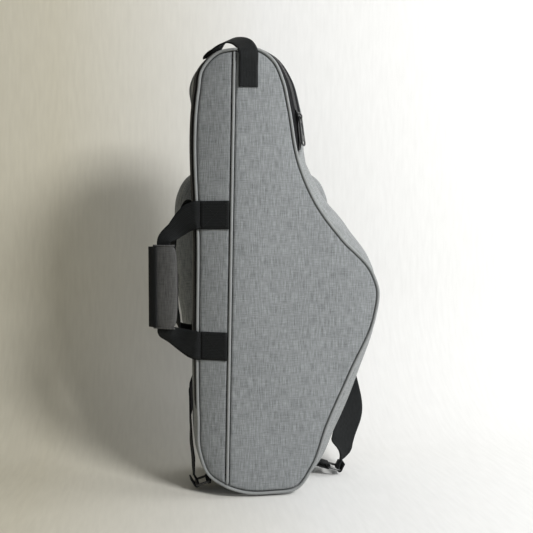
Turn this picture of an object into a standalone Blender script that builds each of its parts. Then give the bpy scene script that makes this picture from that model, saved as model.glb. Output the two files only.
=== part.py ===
"""Alto saxophone soft case: a padded bag with a zipped flap, a carrying handle, straps and a pocket.

The case stands on its narrow end. The plain front panel faces -Y, +X is to the right, +Z is up, and
the origin is in the middle of the flat bottom. Shapes are worked out in the case's own frame: x from
the left of the front outline, y back from the front panel, z up from the lowest point of the front
outline. An empty carries that frame into place.
"""

import math

import bmesh
import bpy
import numpy as np
from mathutils import Matrix, Vector

# Driving sizes of the body
CASE_WIDTH = 0.2463
CASE_HEIGHT = 0.596
BODY_DEPTH = 0.148
FRONT_RAISE = 0.005
BODY_FLARE = 0.045
WALL = 0.012
PAD_THICKNESS = 0.012
PAD_SLOPE = 0.008
PAD_ROLL = 0.004
PAD_CROWN = 0.0008
LINING = 0.0015
GAP = 0.0003
SLACK = 0.0015
SPINE_TURN = math.radians(25.0)

# The front outline, counterclockwise from the bottom: across and up, then how far the wall has
# swollen outwards behind the zip band, half way back and at the back
OUTLINE_SHARES = (
    (0.256, 0.003, 0.10, 0.18, 0.18),
    (0.398, 0.000, 0.10, 0.18, 0.18),
    (0.544, 0.008, 0.16, 0.28, 0.30),
    (0.625, 0.052, 0.27, 0.49, 0.67),
    (0.714, 0.150, 0.42, 0.73, 1.00),
    (0.845, 0.270, 0.38, 0.69, 0.96),
    (0.984, 0.402, 0.18, 0.44, 0.71),
    (1.000, 0.461, 0.12, 0.38, 0.64),
    (0.965, 0.502, 0.20, 0.47, 0.73),
    (0.793, 0.579, 0.38, 0.67, 0.91),
    (0.646, 0.660, 0.36, 0.62, 0.84),
    (0.554, 0.745, 0.31, 0.56, 0.76),
    (0.491, 0.879, 0.44, 0.69, 0.89),
    (0.463, 0.930, 0.40, 0.62, 0.80),
    (0.402, 0.979, 0.27, 0.44, 0.58),
    (0.339, 0.997, 0.18, 0.29, 0.36),
    (0.211, 0.998, 0.13, 0.27, 0.33),
    (0.116, 0.993, 0.13, 0.27, 0.36),
    (0.028, 0.956, 0.16, 0.18, 0.20),
    (0.010, 0.913, 0.16, 0.11, 0.04),
    (0.004, 0.554, 0.13, 0.09, -0.02),
    (0.001, 0.170, 0.09, 0.07, -0.02),
    (0.010, 0.090, 0.09, 0.07, 0.00),
    (0.060, 0.040, 0.09, 0.09, 0.06),
    (0.150, 0.018, 0.10, 0.20, 0.20),
)
STATIONS = len(OUTLINE_SHARES)
STEPS_PER_STATION = 3
ZIP_STEPS = 44
MAIN_ARC_STEPS = 56
SPINE_ARC_STEPS = 28
SEARCH_STEPS = 2400
HALFWAY_SHARE = 0.5
CREASE_FOOT_SHARE = 0.152
CREASE_HEAD_SHARE = 0.197

# The line that the front opens about, and the frame's place on the floor
FOLD_FOOT_SHARES = (0.0, 0.064)
FOLD_HEAD_SHARES = (0.5725, 0.802)
FOLD_STAND_OFF = 0.003
FOLD_GAP = 0.0006
ORIGIN_SHARES = (0.386, 0.574)

# Welts
WELT_RADIUS = 0.0022
WELT_SINK = 0.0015
CREASE_WELT_RADIUS = 0.0022
SEAM_INSET = WELT_RADIUS + 2 * GAP
EDGE_DEPTH = WELT_SINK + WELT_RADIUS + GAP

# The main zip: the band it runs in, its stations, and the ramps where it tucks into the seam
ZIP_BAND = 0.025
ZIP_RIGHT_STATION = 11.25
ZIP_LEFT_STATION = 20.95
ZIP_RIGHT_RAMP = 0.35
ZIP_LEFT_RAMP = 0.10
TAPE_THICKNESS = 0.0012
TAPE_SINK = 0.0005
COIL_RISE = 0.0007
COIL_DEPTH = 0.0024
FLAP_TAPE_SHARES = (0.00, 0.36)
FLAP_COIL_SHARES = (0.38, 0.485)
BASE_COIL_SHARES = (0.515, 0.62)
BASE_TAPE_SHARES = (0.64, 1.00)
SLIDER_STATION = 11.80
SLIDER_LENGTH = 0.013
SLIDER_WIDTH = 0.009
SLIDER_HEIGHT = 0.0028
SLIDER_ROUND = 0.0008
BRIDGE_RADIUS = 0.0008
BRIDGE_HEIGHT = 0.0044
BRIDGE_REACH = 0.0042
PULL_LENGTH = 0.040
PULL_WIDTH = 0.0095
PULL_THICKNESS = 0.0014
PULL_RAIL = 0.0022
POCKET_PULL_LENGTH = 0.030

# Webbing
WEB_WIDE = 0.038
WEB_NARROW = 0.0256
WEB_THICKNESS = 0.0016

# Carrying handle, with heights as shares of the case
HANDLE_TOP_SHARE = 0.632
HANDLE_FOOT_SHARE = 0.337
HANDLE_HINGE_INSET = 0.0044
GRIP_LENGTH = 0.110
GRIP_WIDTH = 0.044
GRIP_THICKNESS = 0.014
GRIP_REACH = 0.045
GRIP_DEPTH = 0.032
GRIP_DROP = 0.009
GRIP_TURN = math.radians(-32.0)
GRIP_WEB = 0.020
GRIP_SKIN = 0.0024
GRIP_EDGING = 0.0012
GRIP_EDGING_SPREAD = math.radians(62.0)
BACK_LOOP_REACH = 0.038
BACK_LOOP_DEPTH = 0.060
BACK_LOOP_WEB = 0.028
BACK_PATCH_DEPTH = 0.100
BACK_PATCH_LENGTH = 0.034

# Top loop
LOOP_CENTRE_SHARE = 0.270
LOOP_FOOT_SHARE = 0.915
LOOP_RISE = 0.022
LOOP_END_STATION = 16.9
LOOP_END_SHARE = 0.62
LOOP_STUD_RADIUS = 0.006
LOOP_STUD_HEIGHT = 0.0014

# Pocket on the back
POCKET_WIDTH = 0.2365
POCKET_HEIGHT = 0.252
POCKET_LEFT_SHARE = -0.089
POCKET_FOOT_SHARE = 0.336
POCKET_BASE_DEPTH = 0.018
POCKET_TUCK = 0.032
POCKET_WALL = 0.003
POCKET_ZIP = 0.006
POCKET_BAND_DEPTH = 0.012
POCKET_PAD = 0.004
POCKET_FACE_BULGE = 0.008
POCKET_SHARES = (
    (0.12, 0.000),
    (0.50, 0.000),
    (0.88, 0.000),
    (0.94, 0.040),
    (0.96, 0.130),
    (1.00, 0.700),
    (0.985, 0.830),
    (0.93, 0.930),
    (0.82, 0.990),
    (0.50, 1.000),
    (0.18, 0.990),
    (0.07, 0.930),
    (0.015, 0.830),
    (0.00, 0.700),
    (0.04, 0.130),
    (0.06, 0.040),
)
POCKET_STATIONS = len(POCKET_SHARES)
POCKET_ZIP_START = 3.5
POCKET_ZIP_END = 14.5
POCKET_SLIDER_STATION = 8.35

# Instrument bed inside
BED_FRONT = 0.044
BED_SLACK = 0.0025
HOLLOWS_SHARES = (
    # lower end: across, up, radius; upper end: across, up, radius; depth
    (0.345, 0.200, 0.130, 0.260, 0.885, 0.075, 0.82),
    (0.345, 0.200, 0.128, 0.500, 0.190, 0.133, 0.87),
    (0.500, 0.190, 0.130, 0.715, 0.430, 0.205, 0.92),
)
CRADLE_SHARE = 0.780
CRADLE_LENGTH_SHARE = 0.050
CRADLE_HEIGHT = 0.045
CRADLE_NOTCH = 0.011
BOW_PAD_SHARE = 0.70
BOW_PAD_HEIGHT = 0.022
HOLD_STRAP_SHARE = 0.560
HOLD_STRAP_ENDS_SHARES = (0.085, 0.520)
HOLD_STRAP_ARCH = 0.012
HOLD_PATCH = 0.024

# Rings and tabs for the shoulder straps: station, share of the depth, tilt, tab length
RING_RADIUS = 0.0016
RING_WIDTH = 0.030
RING_LENGTH = 0.018
TAB_WIDTH = 0.0245
RIGHT_TAB = (2.85, 0.60)
RIGHT_TAB_TILT = math.radians(31.0)
RIGHT_TAB_LENGTH = 0.035
LEFT_TAB = (23.5, 0.27)
LEFT_TAB_TILT = math.radians(-38.0)
LEFT_TAB_LENGTH = 0.017
HEM_LENGTH = 0.011

# Shoulder straps, hem upwards: across, depth, pocket's depth and up as shares of the sizes, then the
# way that the webbing's width lies
STRAP_STEPS = 4
RIGHT_STRAP_SHARES = (
    (0.946, 0.676, 0.0, 0.070, 0.75, 0.66, -0.10),
    (1.010, 0.865, 0.0, 0.128, 0.92, -0.20, -0.10),
    (1.008, 1.0, 0.34, 0.188, 0.95, -0.25, 0.00),
    (0.966, 1.0, 0.60, 0.243, 0.95, -0.10, 0.10),
    (0.901, 1.0, 0.92, 0.302, 0.95, 0.20, 0.20),
    (0.804, 1.0, 1.16, 0.356, 0.95, 0.00, 0.30),
    (0.670, 1.0, 1.20, 0.436, 0.95, 0.00, 0.30),
    (0.520, 1.0, 1.22, 0.570, 0.98, 0.00, 0.15),
    (0.450, 1.0, 1.22, 0.680, 1.00, 0.00, 0.10),
    (0.420, 1.0, 1.02, 0.750, 1.00, 0.00, 0.05),
    (0.405, 1.0, 0.62, 0.800, 1.00, 0.00, 0.05),
    (0.395, 1.0, 0.25, 0.850, 1.00, 0.00, 0.05),
)
LEFT_STRAP_SHARES = (
    (-0.020, 0.400, 0.0, 0.055, -0.06, 0.98, -0.10),
    (-0.029, 0.490, 0.0, 0.098, -0.04, 0.96, -0.15),
    (-0.029, 0.650, 0.0, 0.134, 0.02, 0.80, -0.55),
    (-0.026, 0.860, 0.0, 0.154, 0.04, 0.45, -0.88),
    (-0.008, 1.0, 0.18, 0.172, 0.20, 0.50, -0.82),
    (0.066, 1.0, 0.74, 0.210, 0.80, 0.40, -0.40),
    (0.154, 1.0, 1.08, 0.268, 1.00, 0.10, -0.20),
    (0.211, 1.0, 1.20, 0.340, 1.00, 0.00, -0.10),
    (0.227, 1.0, 1.22, 0.470, 1.00, 0.00, 0.00),
    (0.210, 1.0, 1.22, 0.650, 1.00, 0.00, 0.05),
    (0.195, 1.0, 1.02, 0.750, 1.00, 0.00, 0.05),
    (0.187, 1.0, 0.62, 0.800, 1.00, 0.00, 0.05),
    (0.180, 1.0, 0.25, 0.850, 1.00, 0.00, 0.05),
)
ANCHOR_LENGTH = 0.030
ADJUSTER_WIDTH = 0.046
ADJUSTER_LENGTH = 0.018
ADJUSTER_THICKNESS = 0.006
ADJUSTER_SLOT = 0.0034
CUT_OVERRUN = 0.002

# Finishes: colour, roughness, metallic
FINISHES = {
    "canvas": ((0.30, 0.31, 0.33), 0.92, 0.0),
    "welt": ((0.42, 0.44, 0.45), 0.80, 0.0),
    "webbing": ((0.012, 0.014, 0.014), 0.75, 0.0),
    "zip": ((0.010, 0.011, 0.012), 0.70, 0.0),
    "metal": ((0.10, 0.10, 0.10), 0.35, 1.0),
    "plush": ((0.03, 0.03, 0.035), 0.95, 0.0),
    "foam": ((0.05, 0.05, 0.055), 0.95, 0.0),
}

POCKET_DEPTH = POCKET_BASE_DEPTH + POCKET_ZIP + POCKET_BAND_DEPTH + POCKET_FACE_BULGE
OUTLINE = np.array(OUTLINE_SHARES) * [CASE_WIDTH, CASE_HEIGHT, BODY_FLARE, BODY_FLARE, BODY_FLARE]
POCKET_OUTLINE = np.array(POCKET_SHARES) * [POCKET_WIDTH, POCKET_HEIGHT] + [
    POCKET_LEFT_SHARE * CASE_WIDTH,
    POCKET_FOOT_SHARE * CASE_HEIGHT,
]
FOLD_FOOT = np.array(FOLD_FOOT_SHARES) * [CASE_WIDTH, CASE_HEIGHT]
FOLD_HEAD = np.array(FOLD_HEAD_SHARES) * [CASE_WIDTH, CASE_HEIGHT]
FOLD_RUN = (FOLD_HEAD - FOLD_FOOT) / np.linalg.norm(FOLD_HEAD - FOLD_FOOT)


def clear_scene():
    for obj in list(bpy.data.objects):
        bpy.data.objects.remove(obj, do_unlink=True)


def make_collection(name):
    group = bpy.data.collections.new(name)
    bpy.context.scene.collection.children.link(group)
    return group


def make_material(name):
    colour, roughness, metallic = FINISHES[name]
    material = bpy.data.materials.new(name)
    material.use_nodes = True
    shader = material.node_tree.nodes["Principled BSDF"]
    shader.inputs["Base Color"].default_value = (*colour, 1.0)
    shader.inputs["Roughness"].default_value = roughness
    shader.inputs["Metallic"].default_value = metallic
    return material


clear_scene()
CASE = make_collection("alto_sax_case")
CUTTERS = make_collection("cutters")
MATERIALS = {name: make_material(name) for name in FINISHES}
PLACES = {}
FRAME = bpy.data.objects.new("case_frame", None)
FRAME.location = (-ORIGIN_SHARES[0] * CASE_WIDTH, -ORIGIN_SHARES[1] * BODY_DEPTH, FRONT_RAISE)
CASE.objects.link(FRAME)


def make_pivot(name, place, carrier=None):
    """An empty on a joint's axis, which carries the pieces that move about it."""
    pivot = bpy.data.objects.new(name, None)
    pivot.parent = carrier or FRAME
    held = PLACES[carrier.name] if carrier else Vector()
    PLACES[name] = Vector(place)
    pivot.location = PLACES[name] - held
    CASE.objects.link(pivot)
    return pivot


def add_object(name, data, finish, pivot=None):
    """Put a mesh or curve given in the case's frame into the model, on its pivot."""
    if pivot is not None:
        data.transform(Matrix.Translation(-PLACES[pivot.name]))
    data.materials.append(MATERIALS[finish])
    obj = bpy.data.objects.new(name, data)
    obj.parent = pivot or FRAME
    CASE.objects.link(obj)
    return obj


def mesh_from(name, bm, smooth=True):
    bmesh.ops.recalc_face_normals(bm, faces=bm.faces)
    mesh = bpy.data.meshes.new(name)
    bm.to_mesh(mesh)
    bm.free()
    if smooth:
        mesh.shade_smooth()
        mesh.set_sharp_from_angle(angle=math.radians(35.0))
    return mesh


def loft_into(bm, rings, wrap=False, closed=True):
    """Skin rings of points. wrap joins the last ring to the first, otherwise both ends get caps."""
    rows = [[bm.verts.new(point) for point in ring] for ring in rings]
    pairs = list(zip(rows, rows[1:]))
    if wrap:
        pairs.append((rows[-1], rows[0]))
    for low, high in pairs:
        count = len(low)
        for k in range(count if closed else count - 1):
            after = (k + 1) % count
            bm.faces.new((low[k], low[after], high[after]))
            bm.faces.new((low[k], high[after], high[k]))
    if not wrap:
        bm.faces.new(rows[0][::-1])
        bm.faces.new(rows[-1])


def loft(name, rings, finish, pivot=None, wrap=False):
    bm = bmesh.new()
    loft_into(bm, rings, wrap)
    return add_object(name, mesh_from(name, bm), finish, pivot)


def tube(name, points, radius, finish, pivot=None, cyclic=False, sides=1):
    """A round cord or wire along points."""
    curve = bpy.data.curves.new(name, "CURVE")
    curve.dimensions = "3D"
    curve.bevel_depth = radius
    curve.bevel_resolution = sides
    curve.use_fill_caps = True
    run = curve.splines.new("POLY")
    run.points.add(len(points) - 1)
    for slot, point in zip(run.points, points):
        slot.co = (*point, 1.0)
    run.use_cyclic_u = cyclic
    return add_object(name, curve, finish, pivot)


def as_mesh(obj):
    """Turn a curve object into a mesh object with its caps welded."""
    graph = bpy.context.evaluated_depsgraph_get()
    mesh = bpy.data.meshes.new_from_object(obj.evaluated_get(graph))
    bm = bmesh.new()
    bm.from_mesh(mesh)
    bmesh.ops.remove_doubles(bm, verts=bm.verts, dist=GAP / 10)
    bm.to_mesh(mesh)
    bm.free()
    name = obj.name
    solid = bpy.data.objects.new(name, mesh)
    solid.parent = obj.parent
    solid.matrix_world = obj.matrix_world
    CASE.objects.link(solid)
    bpy.data.objects.remove(obj, do_unlink=True)
    solid.name = name
    return solid


def boolean(obj, tool, operation):
    """Cut or join with a tool object, which becomes a hidden cutter."""
    for group in list(tool.users_collection):
        group.objects.unlink(tool)
    CUTTERS.objects.link(tool)
    tool.hide_render = True
    tool.display_type = "WIRE"
    step = obj.modifiers.new(tool.name, "BOOLEAN")
    step.operation = operation
    step.solver = "EXACT"
    step.object = tool
    return obj


def block_tool(name, centre, size, turn=None):
    """A box given in the case's frame, for cutting or joining."""
    bm = bmesh.new()
    bmesh.ops.create_cube(bm, size=1.0)
    bmesh.ops.scale(bm, vec=size, verts=bm.verts)
    if turn is not None:
        bmesh.ops.rotate(bm, cent=(0, 0, 0), matrix=turn, verts=bm.verts)
    bmesh.ops.translate(bm, vec=centre, verts=bm.verts)
    tool = bpy.data.objects.new(name, mesh_from(name, bm, smooth=False))
    tool.parent = FRAME
    CASE.objects.link(tool)
    return tool


def smooth(points, at, closed=False, spatial=3):
    """Values at stations of a smooth curve through rows of points, where station k is row k.

    The slope at each row is weighted by the lengths on both sides, so long and short spans meet
    without a loop. spatial says how many columns count as length.
    """
    rows = np.asarray(points, float)
    at = np.asarray(at, float)
    if closed:
        padded = np.vstack([rows[-1:], rows, rows[:2]])
        at = np.mod(at, len(rows))
    else:
        padded = np.vstack([2 * rows[0] - rows[1], rows, 2 * rows[-1] - rows[-2]])
    length = np.linalg.norm(np.diff(padded[:, :spatial], axis=0), axis=1)[:, None]
    slope = np.diff(padded, axis=0) / length
    tangent = (slope[1:] * length[:-1] + slope[:-1] * length[1:]) / (length[:-1] + length[1:])
    index = np.clip(np.floor(at).astype(int), 0, len(tangent) - 2)
    part = (at - index)[:, None]
    span = length[index + 1]
    start, end = padded[index + 1], padded[index + 2]
    ease = part * part * (3 - 2 * part)
    lead = tangent[index] * span * part * (1 - part) ** 2
    trail = tangent[index + 1] * span * part * part * (part - 1)
    return start + (end - start) * ease + lead + trail


def eased(rows, at):
    """Values at stations of straight runs between rows."""
    rows = np.asarray(rows, float)
    stations = np.arange(len(rows))
    return np.column_stack([np.interp(at, stations, column) for column in rows.T])


def unit(vectors):
    return vectors / np.linalg.norm(vectors, axis=-1, keepdims=True)


def outline_at(stations):
    """Outline points, outward normals and swell at stations of the front outline."""
    here = smooth(OUTLINE, stations, closed=True, spatial=2)
    ahead = smooth(OUTLINE, stations + 0.01, closed=True, spatial=2)[:, :2]
    behind = smooth(OUTLINE, stations - 0.01, closed=True, spatial=2)[:, :2]
    along = unit(ahead - behind)
    outward = np.column_stack([along[:, 1], -along[:, 0]])
    return here[:, :2], outward, here[:, 2:]


def crease_x(z):
    share = CREASE_FOOT_SHARE + (CREASE_HEAD_SHARE - CREASE_FOOT_SHARE) * z / CASE_HEIGHT
    return share * CASE_WIDTH


def front_y(x, z):
    """Depth of the front surface: flat, then turned back beyond the crease."""
    return np.maximum(crease_x(z) - x, 0.0) * math.tan(SPINE_TURN)


def zipped(stations):
    """One where the front seam is a zip, falling to zero where the zip tucks into the seam."""
    rise = np.clip((stations - ZIP_RIGHT_STATION) / ZIP_RIGHT_RAMP + 0.5, 0, 1)
    fall = np.clip((ZIP_LEFT_STATION - stations) / ZIP_LEFT_RAMP + 0.5, 0, 1)
    weight = np.minimum(rise, fall)
    return weight * weight * (3 - 2 * weight)


def wall_edge(stations):
    """How far the side wall's front edge lies behind the front seam."""
    return EDGE_DEPTH + (ZIP_BAND - EDGE_DEPTH) * zipped(stations)


def skin(stations, share=0.0, inset=0.0, floor=0.0, depth=None, behind=None):
    """Points of the side wall's outer skin, drawn in by an inset.

    share runs from the front seam to the back. depth puts the points at one depth instead, and
    behind puts them that far behind the front seam.
    """
    stations = np.asarray(stations, float)
    place, outward, swell = outline_at(stations)
    front = front_y(place[:, 0], place[:, 1])
    if behind is not None:
        share = behind / (BODY_DEPTH - front)
    if depth is not None:
        share = (depth - front) / (BODY_DEPTH - front)
    share = np.broadcast_to(share, stations.shape)
    knots = np.array([0.0, ZIP_BAND / BODY_DEPTH, HALFWAY_SHARE, 1.0])
    levels = np.column_stack([np.zeros(len(swell)), swell])
    cell = np.clip(np.searchsorted(knots, share, side="right") - 1, 0, 2)
    part = (share - knots[cell]) / (knots[cell + 1] - knots[cell])
    rows = np.arange(len(stations))
    out = levels[rows, cell] * (1 - part) + levels[rows, cell + 1] * part
    flat = place + outward * (out - inset)[:, None]
    height = np.maximum(flat[:, 1], floor - FRONT_RAISE)
    return np.column_stack([flat[:, 0], front + (BODY_DEPTH - front) * share, height])


def all_round():
    """Stations for closed rings of the body, with more of them where the zip ends."""
    even = np.arange(STATIONS * STEPS_PER_STATION) / STEPS_PER_STATION
    ramp = np.linspace(-0.5, 0.5, 5)
    extra = np.concatenate(
        [ZIP_RIGHT_STATION + ramp * ZIP_RIGHT_RAMP, ZIP_LEFT_STATION + ramp * ZIP_LEFT_RAMP]
    )
    return np.unique(np.round(np.concatenate([even, extra]), 4))


def changes(side, inset):
    """Stations at which the drawn-in outline passes a line."""
    at = np.linspace(0, STATIONS, SEARCH_STEPS, endpoint=False)
    place, outward, _ = outline_at(at)
    value = side(place - outward * inset)
    after = np.roll(value, -1)
    found = np.nonzero(np.signbit(value) != np.signbit(after))[0]
    step = STATIONS / SEARCH_STEPS
    return [at[k] + step * value[k] / (value[k] - after[k]) for k in found]


def fold_side(points):
    """Distance from the fold line, positive on the side that opens."""
    away = points - FOLD_FOOT
    return away[:, 1] * FOLD_RUN[0] - away[:, 0] * FOLD_RUN[1]


def crease_side(points):
    return points[:, 0] - crease_x(points[:, 1])


def front_ring(spine, inset, lift):
    """A ring of the main panel, or of the spine panel, drawn in and raised from its plane."""
    sign = -1.0 if spine else 1.0
    top, foot = changes(lambda points: crease_side(points) - sign * inset, inset)
    start, end = (top, foot) if spine else (foot, top + STATIONS)
    steps = SPINE_ARC_STEPS if spine else MAIN_ARC_STEPS
    place, outward, _ = outline_at(np.linspace(start, end, steps + 1))
    arc = place - outward * inset
    seam = np.linspace(arc[-1], arc[0], 10)[1:-1]
    ring = np.vstack([arc, seam])
    depth = (crease_x(ring[:, 1]) - ring[:, 0]) * math.tan(SPINE_TURN) if spine else 0.0
    return np.column_stack([ring[:, 0], depth + np.full(len(ring), lift), ring[:, 1]])


def padded_front(name, spine, keep, pivot):
    """A padded panel with rolled edges, cut along the fold so that one side is left."""
    crown = 0.0 if spine else -PAD_CROWN
    profile = (
        (SEAM_INSET + PAD_SLOPE, PAD_THICKNESS),
        (SEAM_INSET, PAD_ROLL * 0.6),
        (SEAM_INSET + PAD_ROLL * 0.2, PAD_ROLL * 0.3),
        (SEAM_INSET + PAD_ROLL, PAD_ROLL * 0.05),
        (SEAM_INSET + PAD_ROLL * 2.5, crown),
    )
    panel = loft(name, [front_ring(spine, *row) for row in profile], "canvas", pivot)
    return cut_at_fold(panel, keep)


def cut_at_fold(obj, keep):
    """Keep what lies on the flap's side (+1) or on the fixed side (-1) of the fold line."""
    reach = 3 * CASE_HEIGHT
    middle = (FOLD_FOOT + FOLD_HEAD) / 2
    away = np.array([FOLD_RUN[1], -FOLD_RUN[0]]) * keep
    centre = middle + away * (reach - FOLD_GAP) / 2
    lean = math.atan2(FOLD_RUN[0], FOLD_RUN[1])
    turn = Matrix.Rotation(lean, 3, "Y")
    tool = block_tool(f"{obj.name}_side", (centre[0], 0.0, centre[1]), (reach, reach, reach), turn)
    return boolean(obj, tool, "DIFFERENCE")


def seam_points(stations, sink=WELT_SINK):
    place, _, _ = outline_at(stations)
    return np.column_stack([place[:, 0], front_y(place[:, 0], place[:, 1]) + sink, place[:, 1]])


def frame_between(start, along, outward):
    """A matrix whose X runs along, whose Z points outward, at a place."""
    x = Vector(along).normalized()
    z = Vector(outward)
    z = (z - x * z.dot(x)).normalized()
    y = z.cross(x)
    matrix = Matrix((x, y, z)).transposed().to_4x4()
    matrix.translation = Vector(start)
    return matrix


def ribbon_rings(centres, across, width, thickness):
    """Cross-sections of a strip of webbing along a path."""
    centres = np.asarray(centres)
    along = unit(np.gradient(centres, axis=0))
    side = across - along * np.sum(across * along, axis=1)[:, None]
    side = unit(side) * np.broadcast_to(width, len(centres))[:, None] / 2
    up = unit(np.cross(along, side)) * thickness / 2
    corners = ((-1, -1), (1, -1), (1, 1), (-1, 1))
    return np.stack([centres + a * side + b * up for a, b in corners], axis=1)


def ribbon(name, places, across, width, pivot=None, straight=False):
    """A strip of webbing through places; across says which way its width lies at each."""
    at = np.linspace(0, len(places) - 1, (len(places) - 1) * STRAP_STEPS + 1)
    centres = eased(places, at) if straight else smooth(places, at)
    widths = np.interp(at, np.arange(len(places)), np.broadcast_to(width, len(places)))
    rings = ribbon_rings(centres, eased(across, at), widths, WEB_THICKNESS)
    return loft(name, list(rings), "webbing", pivot)


def make_front():
    """The front: two padded panels on each side of the fold, their welts and plush linings."""
    flap = make_pivot("flap_hinge", (FOLD_FOOT[0], -FOLD_STAND_OFF, FOLD_FOOT[1]))
    for name, keep, pivot in (("flap", 1, flap), ("lower", -1, None)):
        padded_front(f"{name}_panel", False, keep, pivot)
        padded_front(f"{name}_spine_panel", True, keep, pivot)
        inset = SEAM_INSET + PAD_SLOPE + LINING
        levels = (PAD_THICKNESS + GAP, PAD_THICKNESS + GAP + LINING)
        rings = [front_ring(False, inset, level) for level in levels]
        cut_at_fold(loft(f"{name}_lining", rings, "plush", pivot), keep)
    make_front_welts(flap)
    return flap


def make_front_welts(flap):
    clear = WELT_RADIUS + FOLD_GAP
    right, left = changes(lambda points: fold_side(points) - clear, 0.0)
    run = np.linspace(right, left, ZIP_STEPS)
    tube("flap_welt", seam_points(run), WELT_RADIUS, "welt", flap)
    right, left = changes(lambda points: fold_side(points) + clear, 0.0)
    run = np.linspace(left, right + STATIONS, MAIN_ARC_STEPS)
    tube("lower_welt", seam_points(run), WELT_RADIUS, "welt")
    top, foot = changes(crease_side, 2 * WELT_RADIUS + GAP)
    ends = seam_points(np.array([top, foot]))
    heights = np.linspace(ends[1, 2] + 2 * WELT_RADIUS, ends[0, 2] - 2 * WELT_RADIUS, 400)
    line = np.column_stack([crease_x(heights), np.full(400, WELT_SINK), heights])
    side = fold_side(line[:, [0, 2]])
    clear = CREASE_WELT_RADIUS + FOLD_GAP
    for name, keep, pivot in (
        ("flap_crease_welt", side > clear, flap),
        ("lower_crease_welt", side < -clear, None),
    ):
        run = line[keep][[0, -1]]
        tube(name, np.linspace(run[0], run[1], 8), CREASE_WELT_RADIUS, "welt", pivot)


def wall_rings(at, front, rear, inset):
    """Rings of the side wall from behind the front seam to a depth, at each bend of its section."""
    place, _, _ = outline_at(at)
    deep = BODY_DEPTH - front_y(place[:, 0], place[:, 1])
    bend = np.maximum(front + SEAM_INSET, deep * ZIP_BAND / BODY_DEPTH)
    return [
        skin(at, inset=inset, behind=front),
        skin(at, inset=inset, behind=bend),
        skin(at, HALFWAY_SHARE, inset),
        skin(at, inset=inset, depth=rear),
    ]


def make_body():
    """Padded side wall, back panel, back welt and lining."""
    at = all_round()
    edge = wall_edge(at)
    back = BODY_DEPTH - EDGE_DEPTH
    outer = wall_rings(at, edge, back, 0.0)
    inner = wall_rings(at, edge + WALL, back - WALL, WALL)
    loft("side_wall", outer + inner[::-1], "canvas", wrap=True)

    def back_ring(inset, lift):
        ring = skin(at, 1.0, inset, floor=2 * WELT_RADIUS + GAP)
        ring[:, 1] = BODY_DEPTH - lift
        return ring

    profile = (
        (SEAM_INSET + PAD_SLOPE, PAD_THICKNESS),
        (SEAM_INSET, PAD_ROLL * 0.6),
        (SEAM_INSET + PAD_ROLL * 0.2, PAD_ROLL * 0.3),
        (SEAM_INSET + PAD_ROLL, 0.0),
    )
    loft("back_panel", [back_ring(*row) for row in profile], "canvas")
    seam = skin(at, 1.0, floor=WELT_RADIUS)
    seam[:, 1] = BODY_DEPTH - WELT_SINK
    tube("back_welt", seam, WELT_RADIUS, "welt", cyclic=True)

    front = edge + WALL + GAP
    rear = BODY_DEPTH - WALL - PAD_THICKNESS
    outside = wall_rings(at, front, rear, WALL + GAP)
    inside = wall_rings(at, front, rear, WALL + GAP + LINING)
    loft("body_lining", inside + outside[::-1], "plush", wrap=True)


def band_strip(name, shares, rise, depth, finish, pivot=None, start=0.0):
    """A strip of the main zip: part of the band between the front welt and the side wall."""
    first = ZIP_RIGHT_STATION + start
    at = all_round()
    at = at[(at > first) & (at < ZIP_LEFT_STATION)]
    at = np.concatenate([[first], at, [ZIP_LEFT_STATION]])
    low = EDGE_DEPTH + GAP
    high = wall_edge(at) - GAP
    spots = [low + (high - low) * (shares[0] + (shares[1] - shares[0]) * k) for k in (0, 0.5, 1)]
    outer = [skin(at, inset=-rise, behind=spot) for spot in spots]
    inner = [skin(at, inset=depth - rise, behind=spot) for spot in spots[::-1]]
    return loft(name, list(np.stack(outer + inner, axis=1)), finish, pivot)


def make_main_zip(flap):
    """Tapes and coils on both sides of the band, the slider, and its pull."""
    flap_start = SLIDER_STATION - ZIP_RIGHT_STATION + 0.12
    band_strip("flap_zip_tape", FLAP_TAPE_SHARES, -TAPE_SINK, TAPE_THICKNESS, "zip", flap)
    band_strip("flap_zip_coil", FLAP_COIL_SHARES, COIL_RISE, COIL_DEPTH, "zip", flap, flap_start)
    band_strip("base_zip_coil", BASE_COIL_SHARES, COIL_RISE, COIL_DEPTH, "zip")
    band_strip("base_zip_tape", BASE_TAPE_SHARES, -TAPE_SINK, TAPE_THICKNESS, "zip")
    middle = (EDGE_DEPTH + ZIP_BAND) / 2
    at = np.array([SLIDER_STATION - 0.05, SLIDER_STATION, SLIDER_STATION + 0.05])
    line = skin(at, behind=middle)
    deeper = skin(at[1:2], behind=middle + SLIDER_WIDTH / 2)[0]
    along = line[2] - line[0]
    outward = np.cross(along, deeper - line[1])
    outward = unit(outward if outward[0] > 0 else -outward)
    seat = line[1] + outward * (COIL_RISE + GAP + SLIDER_HEIGHT / 2)
    place = frame_between(seat, along, outward)
    pull_side = frame_between(seat, -along, outward)
    make_slider("main_slider", place)
    make_pull("main_pull", pull_side, PULL_LENGTH)
    return place


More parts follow.
